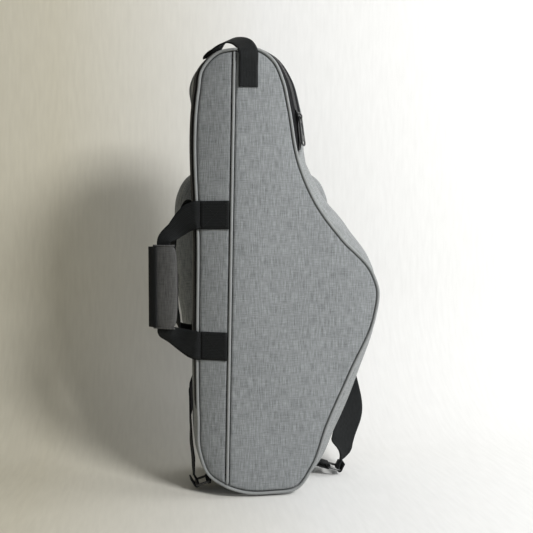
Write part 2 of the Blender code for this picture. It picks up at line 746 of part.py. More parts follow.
def make_slider(name, place):
    """A slider body with the bridge that its pull hangs on."""
    bm = bmesh.new()
    bmesh.ops.create_cube(bm, size=1.0)
    bmesh.ops.scale(bm, vec=(SLIDER_LENGTH, SLIDER_WIDTH, SLIDER_HEIGHT), verts=bm.verts)
    bmesh.ops.bevel(bm, geom=bm.edges, offset=SLIDER_ROUND, segments=2, affect="EDGES", clamp_overlap=True)
    body = mesh_from(name, bm)
    body.materials.append(MATERIALS["metal"])
    slider = bpy.data.objects.new(name, body)
    slider.parent = FRAME
    slider.matrix_local = place
    CASE.objects.link(slider)
    foot = BRIDGE_REACH
    turns = np.linspace(0, math.pi, 9)
    low = SLIDER_HEIGHT / 2 - BRIDGE_RADIUS
    arch = np.column_stack([foot * np.cos(turns), 0 * turns, low + BRIDGE_HEIGHT * np.sin(turns)])
    curve_data = bpy.data.curves.new(f"{name}_bridge", "CURVE")
    curve_data.dimensions = "3D"
    curve_data.bevel_depth = BRIDGE_RADIUS
    curve_data.bevel_resolution = 1
    curve_data.use_fill_caps = True
    run = curve_data.splines.new("POLY")
    run.points.add(len(arch) - 1)
    for slot, point in zip(run.points, arch):
        slot.co = (*point, 1.0)
    arch_obj = bpy.data.objects.new(f"{name}_bridge", curve_data)
    arch_obj.parent = slider
    CASE.objects.link(arch_obj)
    bpy.context.view_layer.update()
    boolean(slider, as_mesh(arch_obj), "UNION")
    return slider


def make_pull(name, place, length):
    """A flat pull: two rails round a slot, with an eye at the slider and a ring at the free end."""
    half = PULL_WIDTH / 2
    lift = (SLIDER_HEIGHT + PULL_THICKNESS) / 2 + 2 * GAP
    curve = bpy.data.curves.new(name, "CURVE")
    curve.dimensions = "2D"
    curve.fill_mode = "BOTH"
    curve.extrude = PULL_THICKNESS / 2

    def add_loop(points):
        run = curve.splines.new("POLY")
        run.points.add(len(points) - 1)
        for slot, point in zip(run.points, points):
            slot.co = (*point, 0.0, 1.0)
        run.use_cyclic_u = True

    def add_box(low, high, side):
        add_loop([(low, -side), (high, -side), (high, side), (low, side)])

    turns = np.linspace(-math.pi / 2, math.pi / 2, 9)
    bar = BRIDGE_RADIUS
    far = [(length - half + half * math.cos(t), half * math.sin(t)) for t in turns]
    add_loop(far + [(-bar, half * 0.8), (-bar, -half * 0.8)])
    eye = BRIDGE_REACH + BRIDGE_RADIUS + 3 * GAP
    add_box(bar, eye, BRIDGE_RADIUS + 2 * GAP)
    slot_half = half - PULL_RAIL
    add_box(eye + PULL_RAIL, length - 3 * half, slot_half * 0.7)
    turns = np.linspace(0, 2 * math.pi, 13)[:-1]
    add_loop([(length - half + slot_half * math.cos(t), slot_half * math.sin(t)) for t in turns])
    curve.materials.append(MATERIALS["metal"])
    pull = bpy.data.objects.new(name, curve)
    pull.parent = FRAME
    pull.matrix_local = place @ Matrix.Translation((0.0, 0.0, lift))
    CASE.objects.link(pull)
    return pull


def spine_point(x, z, off):
    """A point in front of the spine panel's plane."""
    depth = (crease_x(z) - x) * math.tan(SPINE_TURN)
    return (x - off * math.sin(SPINE_TURN), depth - off * math.cos(SPINE_TURN), z)


def ribbon_solid(bm, centres, across, width):
    loft_into(bm, list(ribbon_rings(np.asarray(centres), across, width, WEB_THICKNESS)))


def straight_patch(name, places, across, width, pivot=None):
    """A flat sewn piece of webbing."""
    bm = bmesh.new()
    turns = np.broadcast_to(np.asarray(across, float), np.shape(places))
    ribbon_solid(bm, places, turns, width)
    return add_object(name, mesh_from(name, bm), "webbing", pivot)


def oval(centre, wide, wide_radius, thick, thick_radius, count=24, turns=None):
    """Points of an ellipse across two directions."""
    if turns is None:
        turns = np.arange(count) * 2 * math.pi / count
    return centre + wide_radius * np.cos(turns)[:, None] * wide + thick_radius * np.sin(turns)[:, None] * thick


def make_front_handle(flap):
    """Webbing patches on the spine panel, and the loop with its grip, which swings about them."""
    top = HANDLE_TOP_SHARE * CASE_HEIGHT
    foot = HANDLE_FOOT_SHARE * CASE_HEIGHT
    rise = WEB_THICKNESS / 2 + GAP
    up = np.array([0.0, 0.0, 1.0])
    for name, z in (("upper", top), ("lower", foot)):
        inner = crease_x(z - WEB_WIDE / 2) - CREASE_WELT_RADIUS - 2 * GAP
        xs = np.linspace(inner, HANDLE_HINGE_INSET, 4)
        places = np.array([spine_point(x, z, rise) for x in xs])
        straight_patch(f"front_handle_{name}_patch", places, up, WEB_WIDE, flap)

    lean = np.array([math.cos(GRIP_TURN), math.sin(GRIP_TURN), 0.0])
    facing = np.array([-math.sin(GRIP_TURN), math.cos(GRIP_TURN), 0.0])
    middle = np.array([-GRIP_REACH, GRIP_DEPTH, (top + foot) / 2 - GRIP_DROP])
    grip_top = middle + up * GRIP_LENGTH / 2
    grip_foot = middle - up * GRIP_LENGTH / 2
    start = HANDLE_HINGE_INSET - 2 * GAP
    over = rise + WELT_RADIUS
    out = -3 * WELT_RADIUS
    bend_top = grip_top + [GRIP_REACH * 0.36, 0, (top - grip_top[2]) * 0.70]
    bend_foot = grip_foot + [GRIP_REACH * 0.30, 0, (foot - grip_foot[2]) * 0.62]
    neck = up * GRIP_THICKNESS / 2
    places = [
        spine_point(start, top, rise),
        spine_point(0.0, top, over),
        spine_point(out, top - WELT_RADIUS, over),
        bend_top,
        grip_top + neck,
        grip_top,
        grip_foot,
        grip_foot - neck,
        bend_foot,
        spine_point(out, foot + WELT_RADIUS, over),
        spine_point(0.0, foot, over),
        spine_point(start, foot, rise),
    ]
    top_turn = (-0.6, 0.1, 0.75)
    foot_turn = (-0.6, 0.1, -0.75)
    across = [up, up, up, top_turn, -lean, -lean, -lean, -lean, foot_turn, -up, -up, -up]
    mid_web = (WEB_WIDE + GRIP_WEB) / 2
    ends = [WEB_WIDE] * 3
    width = [*ends, mid_web, *[GRIP_WEB] * 4, mid_web, *ends]
    hinge = spine_point(HANDLE_HINGE_INSET, middle[2], rise + WEB_THICKNESS / 2 + GAP)
    pivot = make_pivot("front_handle_hinge", hinge, flap)
    ribbon("front_handle_webbing", places, across, width, pivot=pivot)

    slot_wide = GRIP_WEB / 2 + GRIP_SKIN
    slot_thick = WEB_THICKNESS / 2 + GRIP_SKIN / 2
    rings = []
    for level, wide, thick in (
        (grip_top, GRIP_WIDTH / 2 - 4 * GAP, GRIP_THICKNESS / 2 - 4 * GAP),
        (grip_top - up * GRIP_THICKNESS / 4, GRIP_WIDTH / 2, GRIP_THICKNESS / 2),
        (grip_foot + up * GRIP_THICKNESS / 4, GRIP_WIDTH / 2, GRIP_THICKNESS / 2),
        (grip_foot, GRIP_WIDTH / 2 - 4 * GAP, GRIP_THICKNESS / 2 - 4 * GAP),
        (grip_foot, slot_wide, slot_thick),
        (grip_top, slot_wide, slot_thick),
    ):
        rings.append(oval(level, lean, wide, facing, thick))
    loft("grip_wrap", rings, "canvas", pivot, wrap=True)

    turns = math.pi + np.linspace(-GRIP_EDGING_SPREAD, GRIP_EDGING_SPREAD, 13)
    inner = (GRIP_WIDTH / 2 + GAP, GRIP_THICKNESS / 2 + GAP)
    outer = (inner[0] + GRIP_EDGING, inner[1] + GRIP_EDGING)
    rings = []
    for level in (grip_top - up * GAP, grip_foot + up * GAP):
        outside = oval(level, lean, outer[0], facing, outer[1], turns=turns)
        inside = oval(level, lean, inner[0], facing, inner[1], turns=turns[::-1])
        rings.append(np.vstack([outside, inside]))
    loft("grip_edging", rings, "webbing", pivot)


def left_station(z):
    """The outline station at a height on the long left edge."""
    at = np.linspace(18.6, 21.4, 200)
    place, _, _ = outline_at(at)
    return np.interp(-z, -place[:, 1], at)


def make_back_handle():
    """The far loop of the handle: two patches on the side wall and a loop that swings about them."""
    rise = WEB_THICKNESS / 2 + 2 * GAP
    up = np.array([0.0, 0.0, 1.0])
    ends = []
    for name, share in (("upper", HANDLE_TOP_SHARE), ("lower", HANDLE_FOOT_SHARE)):
        z = share * CASE_HEIGHT
        station = np.full(4, left_station(z))
        ys = np.linspace(BACK_PATCH_DEPTH + BACK_PATCH_LENGTH, BACK_PATCH_DEPTH, 4)
        wall = skin(station, 0.0, -rise, depth=ys)
        wall[:, 2] = z
        straight_patch(f"back_handle_{name}_patch", wall, up, WEB_WIDE)
        ends.append(wall[-1])
    top, foot = ends
    step = np.array([0.0, 2 * GAP, 0.0])
    reach = BACK_LOOP_REACH + top[0]
    gap_y = BACK_PATCH_DEPTH - BACK_LOOP_DEPTH
    drop = (top[2] - foot[2] - GRIP_LENGTH) / 2
    places = [
        top - step,
        top - 4 * step,
        top + [-reach * 0.12, -gap_y * 0.30, -drop * 0.05],
        top + [-reach * 0.60, -gap_y * 0.80, -drop * 0.45],
        top + [-reach, -gap_y, -drop * 1.2],
        (top + foot) / 2 + [-reach, -gap_y, 0],
        foot + [-reach, -gap_y, drop * 1.2],
        foot + [-reach * 0.60, -gap_y * 0.80, drop * 0.45],
        foot + [-reach * 0.12, -gap_y * 0.30, drop * 0.05],
        foot - 4 * step,
        foot - step,
    ]
    side = np.array([0.50, -0.85, 0.0])
    across = [up, up, up, (0.1, -0.7, 0.7), side, side, side, (0.1, -0.7, -0.7), -up, -up, -up]
    mid_web = (WEB_WIDE + BACK_LOOP_WEB) / 2
    ends = [WEB_WIDE] * 3
    width = [*ends, mid_web, *[BACK_LOOP_WEB] * 3, mid_web, *ends]
    hinge = (top + foot) / 2 - [WEB_THICKNESS / 2 + GAP, GAP, 0.0]
    pivot = make_pivot("back_handle_hinge", hinge)
    ribbon("back_handle_webbing", places, across, width, pivot=pivot)


def disc(name, place, outward, radius, height, finish, pivot=None):
    """A round button standing on a place."""
    bm = bmesh.new()
    bmesh.ops.create_cone(bm, cap_ends=True, segments=20, radius1=radius, radius2=radius * 0.9, depth=height)
    turn = Vector(outward).to_track_quat("Z", "Y").to_matrix()
    bmesh.ops.rotate(bm, cent=(0, 0, 0), matrix=turn, verts=bm.verts)
    bmesh.ops.translate(bm, vec=Vector(place) + Vector(outward) * height / 2, verts=bm.verts)
    return add_object(name, mesh_from(name, bm), finish, pivot)


def make_top_loop(flap):
    """The loop at the head: sewn to the front panel, held on the side wall by a press stud."""
    station = np.array([LOOP_END_STATION])
    seat = skin(station, LOOP_END_SHARE)[0]
    _, normal, _ = outline_at(station)
    outward = np.array([normal[0, 0], 0.0, normal[0, 1]])
    along = np.array([-normal[0, 1], 0.0, normal[0, 0]])
    disc("loop_stud", seat + outward * GAP, outward, LOOP_STUD_RADIUS, LOOP_STUD_HEIGHT, "metal")
    rise = WEB_THICKNESS / 2 + PAD_CROWN + GAP
    end = seat + outward * (LOOP_STUD_HEIGHT + 2 * GAP + WEB_THICKNESS / 2)
    x = LOOP_CENTRE_SHARE * CASE_WIDTH
    foot = LOOP_FOOT_SHARE * CASE_HEIGHT
    head = CASE_HEIGHT
    back = seat[1]
    crest = head + LOOP_RISE
    lift = end[2] - crest
    right = np.array([1.0, 0.0, 0.0])
    places = [
        (x, -rise, foot),
        (x, -rise, foot + (head - foot) * 0.55),
        (x, -rise - WELT_RADIUS, head - 2 * WELT_RADIUS),
        (x, 0.10 * back, head + LOOP_RISE * 0.62),
        (x - (x - end[0]) * 0.35, 0.42 * back, crest),
        (x - (x - end[0]) * 0.80, 0.72 * back, crest + lift * 0.45),
        end - np.array([0, LOOP_STUD_RADIUS * 0.6, 0]),
        end + np.array([0, LOOP_STUD_RADIUS * 1.4, 0]),
    ]
    across = [right, right, right, right, (0.97, 0.10, -0.1), (0.9, 0.1, 0.2), along * -1, along * -1]
    if np.dot(across[-1], right) < 0:
        across[-1] = across[-2] = along
    ribbon("top_loop", places, across, WEB_NARROW, pivot=flap)
    cap = end + outward * (WEB_THICKNESS / 2 + GAP)
    disc("loop_stud_cap", cap, outward, LOOP_STUD_RADIUS * 0.8, LOOP_STUD_HEIGHT, "metal", flap)


def pocket_ring(stations, inset, depth):
    """Points of the pocket's outline, drawn in, at a depth behind the back panel."""
    here = smooth(POCKET_OUTLINE, stations, closed=True, spatial=2)
    ahead = smooth(POCKET_OUTLINE, stations + 0.01, closed=True, spatial=2)
    behind = smooth(POCKET_OUTLINE, stations - 0.01, closed=True, spatial=2)
    along = unit(ahead - behind)
    flat = here - np.column_stack([along[:, 1], -along[:, 0]]) * np.reshape(inset, (-1, 1))
    return np.column_stack([flat[:, 0], np.full(len(flat), BODY_DEPTH + depth), flat[:, 1]])


def pocket_run(name, first, last, low, high, sink, finish, pivot=None):
    """A strip along part of the pocket's edge."""
    at = np.linspace(first, last, 44)
    corners = ((sink, low), (sink, high), (sink + TAPE_THICKNESS, high), (sink + TAPE_THICKNESS, low))
    rings = [pocket_ring(at, inset, depth) for inset, depth in corners]
    return loft(name, list(np.stack(rings, axis=1)), finish, pivot)


def make_pocket():
    """The pocket: side wall on the back panel, zip on three sides, and a front that tips back."""
    at = np.arange(POCKET_STATIONS * STEPS_PER_STATION) / STEPS_PER_STATION
    base = POCKET_BASE_DEPTH
    walls = ((1.0, GAP), (0.35, base * 0.45), (0.06, base * 0.8), (0.0, base))
    outer = [pocket_ring(at, POCKET_TUCK * share, depth) for share, depth in walls]
    inner = [pocket_ring(at, POCKET_TUCK * share + POCKET_WALL, depth) for share, depth in walls[::-1]]
    loft("pocket_wall", outer + inner, "canvas", wrap=True)
    half = POCKET_ZIP / 2
    low = base + GAP
    pocket_run("pocket_base_zip", POCKET_ZIP_START, POCKET_ZIP_END, low, low + half - GAP, GAP, "zip")
    bottom = (POCKET_ZIP_END + 0.1, POCKET_STATIONS + POCKET_ZIP_START - 0.1)
    hinge_y = low + 2 * half
    pocket_run("pocket_hinge_cloth", *bottom, low, hinge_y - 2 * GAP, GAP, "canvas")
    rim_line = pocket_ring(at, 0.0, hinge_y - GAP)
    foot = (rim_line[:, 0].mean(), rim_line[0, 1], rim_line[:, 2].min())
    pivot = make_pivot("pocket_hinge", foot)
    front = (low + half, low + 2 * half - GAP)
    pocket_run("pocket_front_zip", POCKET_ZIP_START, POCKET_ZIP_END, *front, GAP, "zip", pivot)
    tray = hinge_y + GAP / 2
    rim = tray + POCKET_BAND_DEPTH
    band = [pocket_ring(at, 0.0, tray), pocket_ring(at, 0.0, rim - GAP)]
    band += [pocket_ring(at, POCKET_WALL, rim - GAP), pocket_ring(at, POCKET_WALL, tray)]
    loft("pocket_band", band, "canvas", pivot, wrap=True)
    welt_y = rim + WELT_RADIUS
    tube("pocket_welt", pocket_ring(at, WELT_RADIUS, welt_y), WELT_RADIUS, "welt", pivot, cyclic=True)
    edge = 2 * WELT_RADIUS + GAP
    face = (
        (edge + POCKET_WALL, rim + GAP),
        (edge, rim + GAP + PAD_ROLL / 2),
        (edge + PAD_ROLL, rim + POCKET_PAD),
        (edge + 3 * PAD_ROLL, rim + POCKET_PAD + (POCKET_FACE_BULGE - POCKET_PAD) * 0.7),
        (edge + 7 * PAD_ROLL, rim + POCKET_FACE_BULGE),
    )
    loft("pocket_panel", [pocket_ring(at, *row) for row in face], "canvas", pivot)

    near = POCKET_SLIDER_STATION + np.array([-0.05, 0.0, 0.05])
    line = pocket_ring(near, -(SLIDER_HEIGHT / 2 + GAP), low + half - GAP / 2)
    along = line[2] - line[0]
    outward = np.cross((0.0, 1.0, 0.0), along)
    make_slider("pocket_slider", frame_between(line[1], along, outward))
    make_pull("pocket_pull", frame_between(line[1], -along, outward), POCKET_PULL_LENGTH)


def slot_points(low, low_radius, high, high_radius, steps=12):
    """Outline of the hull round two circles, in the front plane."""
    run = high - low
    heading = math.atan2(run[1], run[0])
    open_turn = math.acos((low_radius - high_radius) / np.linalg.norm(run))
    near = heading + np.linspace(open_turn, 2 * math.pi - open_turn, steps)
    far = heading + np.linspace(-open_turn, open_turn, steps)
    first = low + low_radius * np.column_stack([np.cos(near), np.sin(near)])
    second = high + high_radius * np.column_stack([np.cos(far), np.sin(far)])
    return np.vstack([first, second])


def hollow_values(row):
    sizes = [CASE_WIDTH, CASE_HEIGHT, CASE_WIDTH] * 2
    values = np.array(row[:6]) * sizes
    depth = (BODY_DEPTH - PAD_THICKNESS - BED_FRONT) * row[6]
    return values[:2], values[2], values[3:5], values[5], depth


def make_bed():
    """Foam bed with the instrument's hollow, and the blocks and strap that hold the instrument."""
    at = all_round()
    inset = WALL + BED_SLACK + LINING
    back = BODY_DEPTH - PAD_THICKNESS - 2 * GAP
    depths = np.linspace(BED_FRONT, back, 5)
    bed = loft("instrument_bed", [skin(at, 0.0, inset, depth=depth) for depth in depths], "foam")
    for number, row in enumerate(HOLLOWS_SHARES):
        low, low_radius, high, high_radius, depth = hollow_values(row)
        flat = slot_points(low, low_radius, high, high_radius)
        rings = []
        for y in (BED_FRONT - CUT_OVERRUN, BED_FRONT + depth):
            rings.append(np.column_stack([flat[:, 0], np.full(len(flat), y), flat[:, 1]]))
        boolean(bed, loft(f"hollow_{number}", rings, "foam"), "DIFFERENCE")

    low, low_radius, high, high_radius, depth = hollow_values(HOLLOWS_SHARES[0])
    part = (CRADLE_SHARE * CASE_HEIGHT - low[1]) / (high[1] - low[1])
    centre = low + (high - low) * part
    half = low_radius + (high_radius - low_radius) * part - SLACK
    floor = BED_FRONT + depth - GAP
    size = (2 * half, CRADLE_HEIGHT, CRADLE_LENGTH_SHARE * CASE_HEIGHT)
    tilt = math.atan2((high - low)[0], (high - low)[1])
    turn = Matrix.Rotation(tilt, 3, "Y")
    cradle = block_tool("neck_cradle", (centre[0], floor - CRADLE_HEIGHT / 2, centre[1]), size, turn)
    cradle.data.materials.append(MATERIALS["foam"])
    reach = size[2]
    start = (centre[0] - math.sin(tilt) * reach, floor - CRADLE_HEIGHT, centre[1] - math.cos(tilt) * reach)
    end = (centre[0] + math.sin(tilt) * reach, floor - CRADLE_HEIGHT, centre[1] + math.cos(tilt) * reach)
    notch = tube("neck_notch", [start, end], CRADLE_NOTCH, "foam", sides=6)
    bpy.context.view_layer.update()
    boolean(cradle, as_mesh(notch), "DIFFERENCE")

    place, radius, _, _, depth = hollow_values(HOLLOWS_SHARES[2])
    seat = (place[0], BED_FRONT + depth - GAP, place[1])
    disc("bow_pad", seat, (0, -1, 0), radius * BOW_PAD_SHARE, BOW_PAD_HEIGHT, "foam")

    z = HOLD_STRAP_SHARE * CASE_HEIGHT
    first, last = np.array(HOLD_STRAP_ENDS_SHARES) * CASE_WIDTH
    flat = BED_FRONT - GAP - WEB_THICKNESS / 2
    over = BED_FRONT - HOLD_STRAP_ARCH
    pad = TAPE_THICKNESS + 2 * GAP
    places = [
        (first, flat, z),
        (first + HOLD_PATCH, flat, z),
        (first + HOLD_PATCH * 1.8, over, z),
        (last - HOLD_PATCH * 1.8, over, z),
        (last - HOLD_PATCH - pad, flat - pad, z),
        (last, flat - pad, z),
    ]
    ribbon("hold_strap", places, [(0, 0, 1)] * 6, WEB_NARROW, straight=True)
    patch = block_tool(
        "hold_strap_patch",
        (last - HOLD_PATCH / 2, BED_FRONT - GAP - TAPE_THICKNESS / 2, z),
        (HOLD_PATCH, TAPE_THICKNESS, WEB_NARROW),
    )
    patch.data.materials.append(MATERIALS["plush"])


def tab_frame(spot, tilt):
    """Where a strap tab is sewn on the side wall, the way it points, and the way its ring bars lie."""
    station, share = spot
    at = np.array([station - 0.02, station, station + 0.02])
    line = skin(at, share)
    deep = skin(at[1:2], share + 0.05)[0]
    along = unit(line[2] - line[0])
    bar = unit(deep - line[1])
    outward = unit(np.cross(bar, along))
    _, normal, _ = outline_at(at[1:2])
    if outward[0] * normal[0, 0] + outward[2] * normal[0, 1] < 0:
        outward = -outward
    turned = math.cos(tilt) * outward + math.sin(tilt) * along
    return line[1], turned, bar


def folded_path(bar_place, heading, side, length):
    """A strip that comes along one side, turns round a bar and goes back along the other side."""
    radius = RING_RADIUS + 2 * GAP + WEB_THICKNESS / 2
    turns = np.linspace(0, math.pi, 7)[1:-1]
    start = bar_place + side * radius
    end = bar_place - side * radius
    arc = [bar_place + radius * (math.cos(t) * side - math.sin(t) * heading) for t in turns]
    return [start + heading * length, start, *arc, end, end + heading * length]


def make_ring(name, centre, heading, bar):
    """A rectangular wire ring with rounded corners."""
    half_wide = RING_WIDTH / 2
    half_long = RING_LENGTH / 2
    corner = 2.4 * RING_RADIUS
    points = []
    for quarter, (a, b) in enumerate(((1, 1), (-1, 1), (-1, -1), (1, -1))):
        middle = centre + heading * a * (half_long - corner) + bar * b * (half_wide - corner)
        for t in np.linspace(0, math.pi / 2, 4):
            turn = quarter * math.pi / 2 + t
            points.append(middle + corner * (math.cos(turn) * heading + math.sin(turn) * bar))
    tube(name, points, RING_RADIUS, "metal", cyclic=True)


def make_strap(name, spot, tilt, tab_length, route, hem_heading):
    """A shoulder strap: tab and ring at the foot, webbing up the back, and its sewn top."""
    seat, heading, bar = tab_frame(spot, tilt)
    side = np.cross(heading, bar)
    ring_centre = seat + heading * tab_length
    low_bar = ring_centre - heading * RING_LENGTH / 2
    high_bar = ring_centre + heading * RING_LENGTH / 2
    layer = RING_RADIUS + 2 * GAP + WEB_THICKNESS / 2
    margin = layer * abs(math.tan(tilt)) + SLACK + 3 * GAP
    length = tab_length - RING_LENGTH / 2 - margin
    path = np.array(folded_path(low_bar, -heading, side, length))
    straight_patch(f"{name}_ring_tab", path, bar, TAB_WIDTH)
    make_ring(f"{name}_ring", ring_centre, heading, bar)

    hem = np.array(hem_heading, float)
    hem = unit(hem - bar * np.dot(hem, bar))
    hem_side = np.cross(hem, bar)
    if hem_side[0] < 0:
        hem_side = -hem_side
    fold = folded_path(high_bar, hem, -hem_side, HEM_LENGTH)
    if name == "right":
        fold = folded_path(high_bar, hem, hem_side, HEM_LENGTH)
    rows = np.array(route)
    sizes = [CASE_WIDTH, BODY_DEPTH, POCKET_DEPTH, CASE_HEIGHT]
    spots = rows[:, :4] * sizes
    route_places = np.column_stack([spots[:, 0], spots[:, 1] + spots[:, 2], spots[:, 3]])
    head = route_places[-1] + [0, 0, ANCHOR_LENGTH * 0.55]
    head[1] = BODY_DEPTH + WEB_THICKNESS / 2 + GAP
    top = head + [0, 0, ANCHOR_LENGTH]
    fold_at = np.array(fold)
    at = np.linspace(0, len(rows) + 2, (len(rows) + 2) * STRAP_STEPS + 1)
    main = np.vstack([fold_at[-1:], route_places, head, top])
    turns = np.vstack([bar if bar[1] > 0 else -bar, rows[:, 4:], (1, 0, 0), (1, 0, 0)])
    centres = smooth(main, at)
    sewn = at >= len(rows)
    centres[sewn, 1] = np.maximum(centres[sewn, 1], head[1])
    across = eased(turns, at)
    widths = np.interp(at, [0, 1.0, len(rows) + 2], [TAB_WIDTH, WEB_WIDE * 0.86, WEB_WIDE])
    widths = np.minimum(np.interp(at, [0, 2.0], [TAB_WIDTH, WEB_WIDE]), widths.max())
    centres = np.vstack([fold_at[:-1], centres])
    start = np.tile(turns[0], (len(fold_at) - 1, 1))
    across = np.vstack([start, across])
    widths = np.concatenate([np.full(len(start), TAB_WIDTH), widths])
    rings = ribbon_rings(centres, across, widths, WEB_THICKNESS)
    loft(f"{name}_shoulder_strap", list(rings), "webbing")
    return route_places


def make_adjuster(name, place, along, across):
    """A bar buckle round the strap."""
    along = unit(along)
    side = unit(across - along * np.dot(across, along))
    out = np.cross(along, side)
    matrix = Matrix((side, out, along)).transposed().to_4x4()
    matrix.translation = Vector(place)
    bm = bmesh.new()
    size = (ADJUSTER_WIDTH, ADJUSTER_THICKNESS, ADJUSTER_LENGTH)
    bmesh.ops.create_cube(bm, size=1.0)
    bmesh.ops.scale(bm, vec=size, verts=bm.verts)
    mesh = mesh_from(name, bm, smooth=False)
    mesh.materials.append(MATERIALS["metal"])
    buckle = bpy.data.objects.new(name, mesh)
    buckle.parent = FRAME
    buckle.matrix_local = matrix
    CASE.objects.link(buckle)
    bm = bmesh.new()
    size = (WEB_WIDE + 4 * GAP, ADJUSTER_SLOT, ADJUSTER_LENGTH + 2 * CUT_OVERRUN)
    bmesh.ops.create_cube(bm, size=1.0)
    bmesh.ops.scale(bm, vec=size, verts=bm.verts)
    slot = bpy.data.objects.new(f"{name}_slot", mesh_from(f"{name}_slot", bm, smooth=False))
    slot.parent = FRAME
    slot.matrix_local = matrix
    CASE.objects.link(slot)
    boolean(buckle, slot, "DIFFERENCE")


def make_straps():
    for name, spot, tilt, length, route, hem in (
        ("right", RIGHT_TAB, RIGHT_TAB_TILT, RIGHT_TAB_LENGTH, RIGHT_STRAP_SHARES, (0.45, 0.1, 0.9)),
        ("left", LEFT_TAB, LEFT_TAB_TILT, LEFT_TAB_LENGTH, LEFT_STRAP_SHARES, (-0.5, 0.0, 0.86)),
    ):
        places = make_strap(name, spot, tilt, length, route, hem)
        low, high = places[-2], places[-1]
        make_adjuster(f"{name}_adjuster", low, high - low, np.array([1.0, 0, 0]))


def make_case():
    flap = make_front()
    make_body()
    make_main_zip(flap)
    make_front_handle(flap)
    make_back_handle()
    make_top_loop(flap)
    make_pocket()
    make_bed()
    make_straps()


make_case()
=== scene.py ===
"""Dresses the alto saxophone soft case: heather canvas, piping, webbing, zips and the padded inside.

Shapes are worked out in the case's own frame, in metres: x from the left of the front outline, y back
from the front panel, z up from the lowest point of the front outline. ORIGIN carries them into place.
"""

import logging
import math
from dataclasses import dataclass
from enum import Enum
from functools import cache
from typing import Callable, Optional, Sequence

import bmesh
import bpy
import numpy as np
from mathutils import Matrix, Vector


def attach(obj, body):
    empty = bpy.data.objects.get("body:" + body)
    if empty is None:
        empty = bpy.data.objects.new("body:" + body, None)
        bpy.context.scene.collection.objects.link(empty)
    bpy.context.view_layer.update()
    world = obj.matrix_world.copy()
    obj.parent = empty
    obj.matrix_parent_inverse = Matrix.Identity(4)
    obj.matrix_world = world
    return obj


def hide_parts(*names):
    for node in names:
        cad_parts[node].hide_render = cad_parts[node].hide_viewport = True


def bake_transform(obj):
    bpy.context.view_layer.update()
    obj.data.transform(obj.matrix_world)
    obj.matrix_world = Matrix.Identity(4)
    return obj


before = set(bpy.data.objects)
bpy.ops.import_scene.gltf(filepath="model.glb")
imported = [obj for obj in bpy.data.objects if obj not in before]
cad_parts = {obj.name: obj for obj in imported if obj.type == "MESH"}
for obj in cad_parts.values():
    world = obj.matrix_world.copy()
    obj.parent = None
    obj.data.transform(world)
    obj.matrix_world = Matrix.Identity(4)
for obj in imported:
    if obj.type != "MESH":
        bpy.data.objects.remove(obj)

LOG = logging.getLogger("soft_case")
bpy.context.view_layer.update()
ORIGIN = np.array([-0.386 * 0.2463, -0.574 * 0.148, 0.005])
GAP = 0.0003
SLACK = 0.0015


def row(*values: float) -> np.ndarray:
    """A point or direction as an array."""
    return np.array(values, float)


def unit(vectors: np.ndarray) -> np.ndarray:
    """Vectors scaled to length one."""
    return vectors / np.linalg.norm(vectors, axis=-1, keepdims=True)


def smooth(points: np.ndarray, at: np.ndarray, closed: bool = False, spatial: int = 3) -> np.ndarray:
    """Values of a smooth curve through rows of points, where station k is row k.

    Each span is a cubic that starts and ends with the slope at its rows. A row's slope is the mean of
    the slopes of its two spans, each weighted by the other's length.

    Args:
        points: the rows, whose first columns are the place.
        at: stations, whole numbers at the rows.
        closed: whether the last row joins the first.
        spatial: how many columns count as length.

    Returns:
        One row of values for each station.
    """
    rows = np.asarray(points, float)
    at = np.asarray(at, float)
    if closed:
        padded = np.vstack([rows[-1:], rows, rows[:2]])
        at = np.mod(at, len(rows))
    else:
        padded = np.vstack([2 * rows[0] - rows[1], rows, 2 * rows[-1] - rows[-2]])
    length = np.linalg.norm(np.diff(padded[:, :spatial], axis=0), axis=1)[:, None]
    slope = np.diff(padded, axis=0) / length
    tangent = (slope[1:] * length[:-1] + slope[:-1] * length[1:]) / (length[:-1] + length[1:])
    index = np.clip(np.floor(at).astype(int), 0, len(tangent) - 2)
    part = (at - index)[:, None]
    span = length[index + 1]
    start, end = padded[index + 1], padded[index + 2]
    ease = part * part * (3 - 2 * part)
    lead = tangent[index] * span * part * (1 - part) ** 2
    trail = tangent[index + 1] * span * part * part * (part - 1)
    return start + (end - start) * ease + lead + trail


def eased(rows: Sequence, at: np.ndarray) -> np.ndarray:
    """Values at stations of straight runs between rows.

    Args:
        rows: rows of values, one for each whole station.
        at: stations.

    Returns:
        One row of values for each station.
    """
    table = np.asarray(rows, float)
    stations = np.arange(len(table))
    return np.column_stack([np.interp(at, stations, column) for column in table.T])


def crowded(count: int, crowd: float = 0.8) -> np.ndarray:
    """Shares from 0 to 1 that lie closer together near both ends, as half a cosine does."""
    t = np.linspace(0, 1, count)
    return (1 - crowd) * t + crowd * (0.5 - 0.5 * np.cos(math.pi * t))


def arc_length(points: np.ndarray) -> np.ndarray:
    """Running length along rows of points, along the first axis."""
    steps = np.linalg.norm(np.diff(points, axis=0), axis=-1)
    return np.concatenate([np.zeros((1, *steps.shape[1:])), np.cumsum(steps, axis=0)])


def by_length(points: np.ndarray, shares: np.ndarray) -> np.ndarray:
    """Points at shares of a polyline's length."""
    run = arc_length(points)
    return np.column_stack([np.interp(shares * run[-1], run, column) for column in points.T])


def by_height(points: np.ndarray, shares: np.ndarray) -> np.ndarray:
    """Points at shares of the rise of a polyline, whose last column climbs.

    Args:
        points: rows of points, the last column rising or falling throughout.
        shares: shares of the rise, from 0 to 1.

    Returns:
        One point for each share.
    """
    height = points[:, -1]
    want = height[0] + (height[-1] - height[0]) * shares
    return np.column_stack([np.interp(want, height, column) for column in points.T])


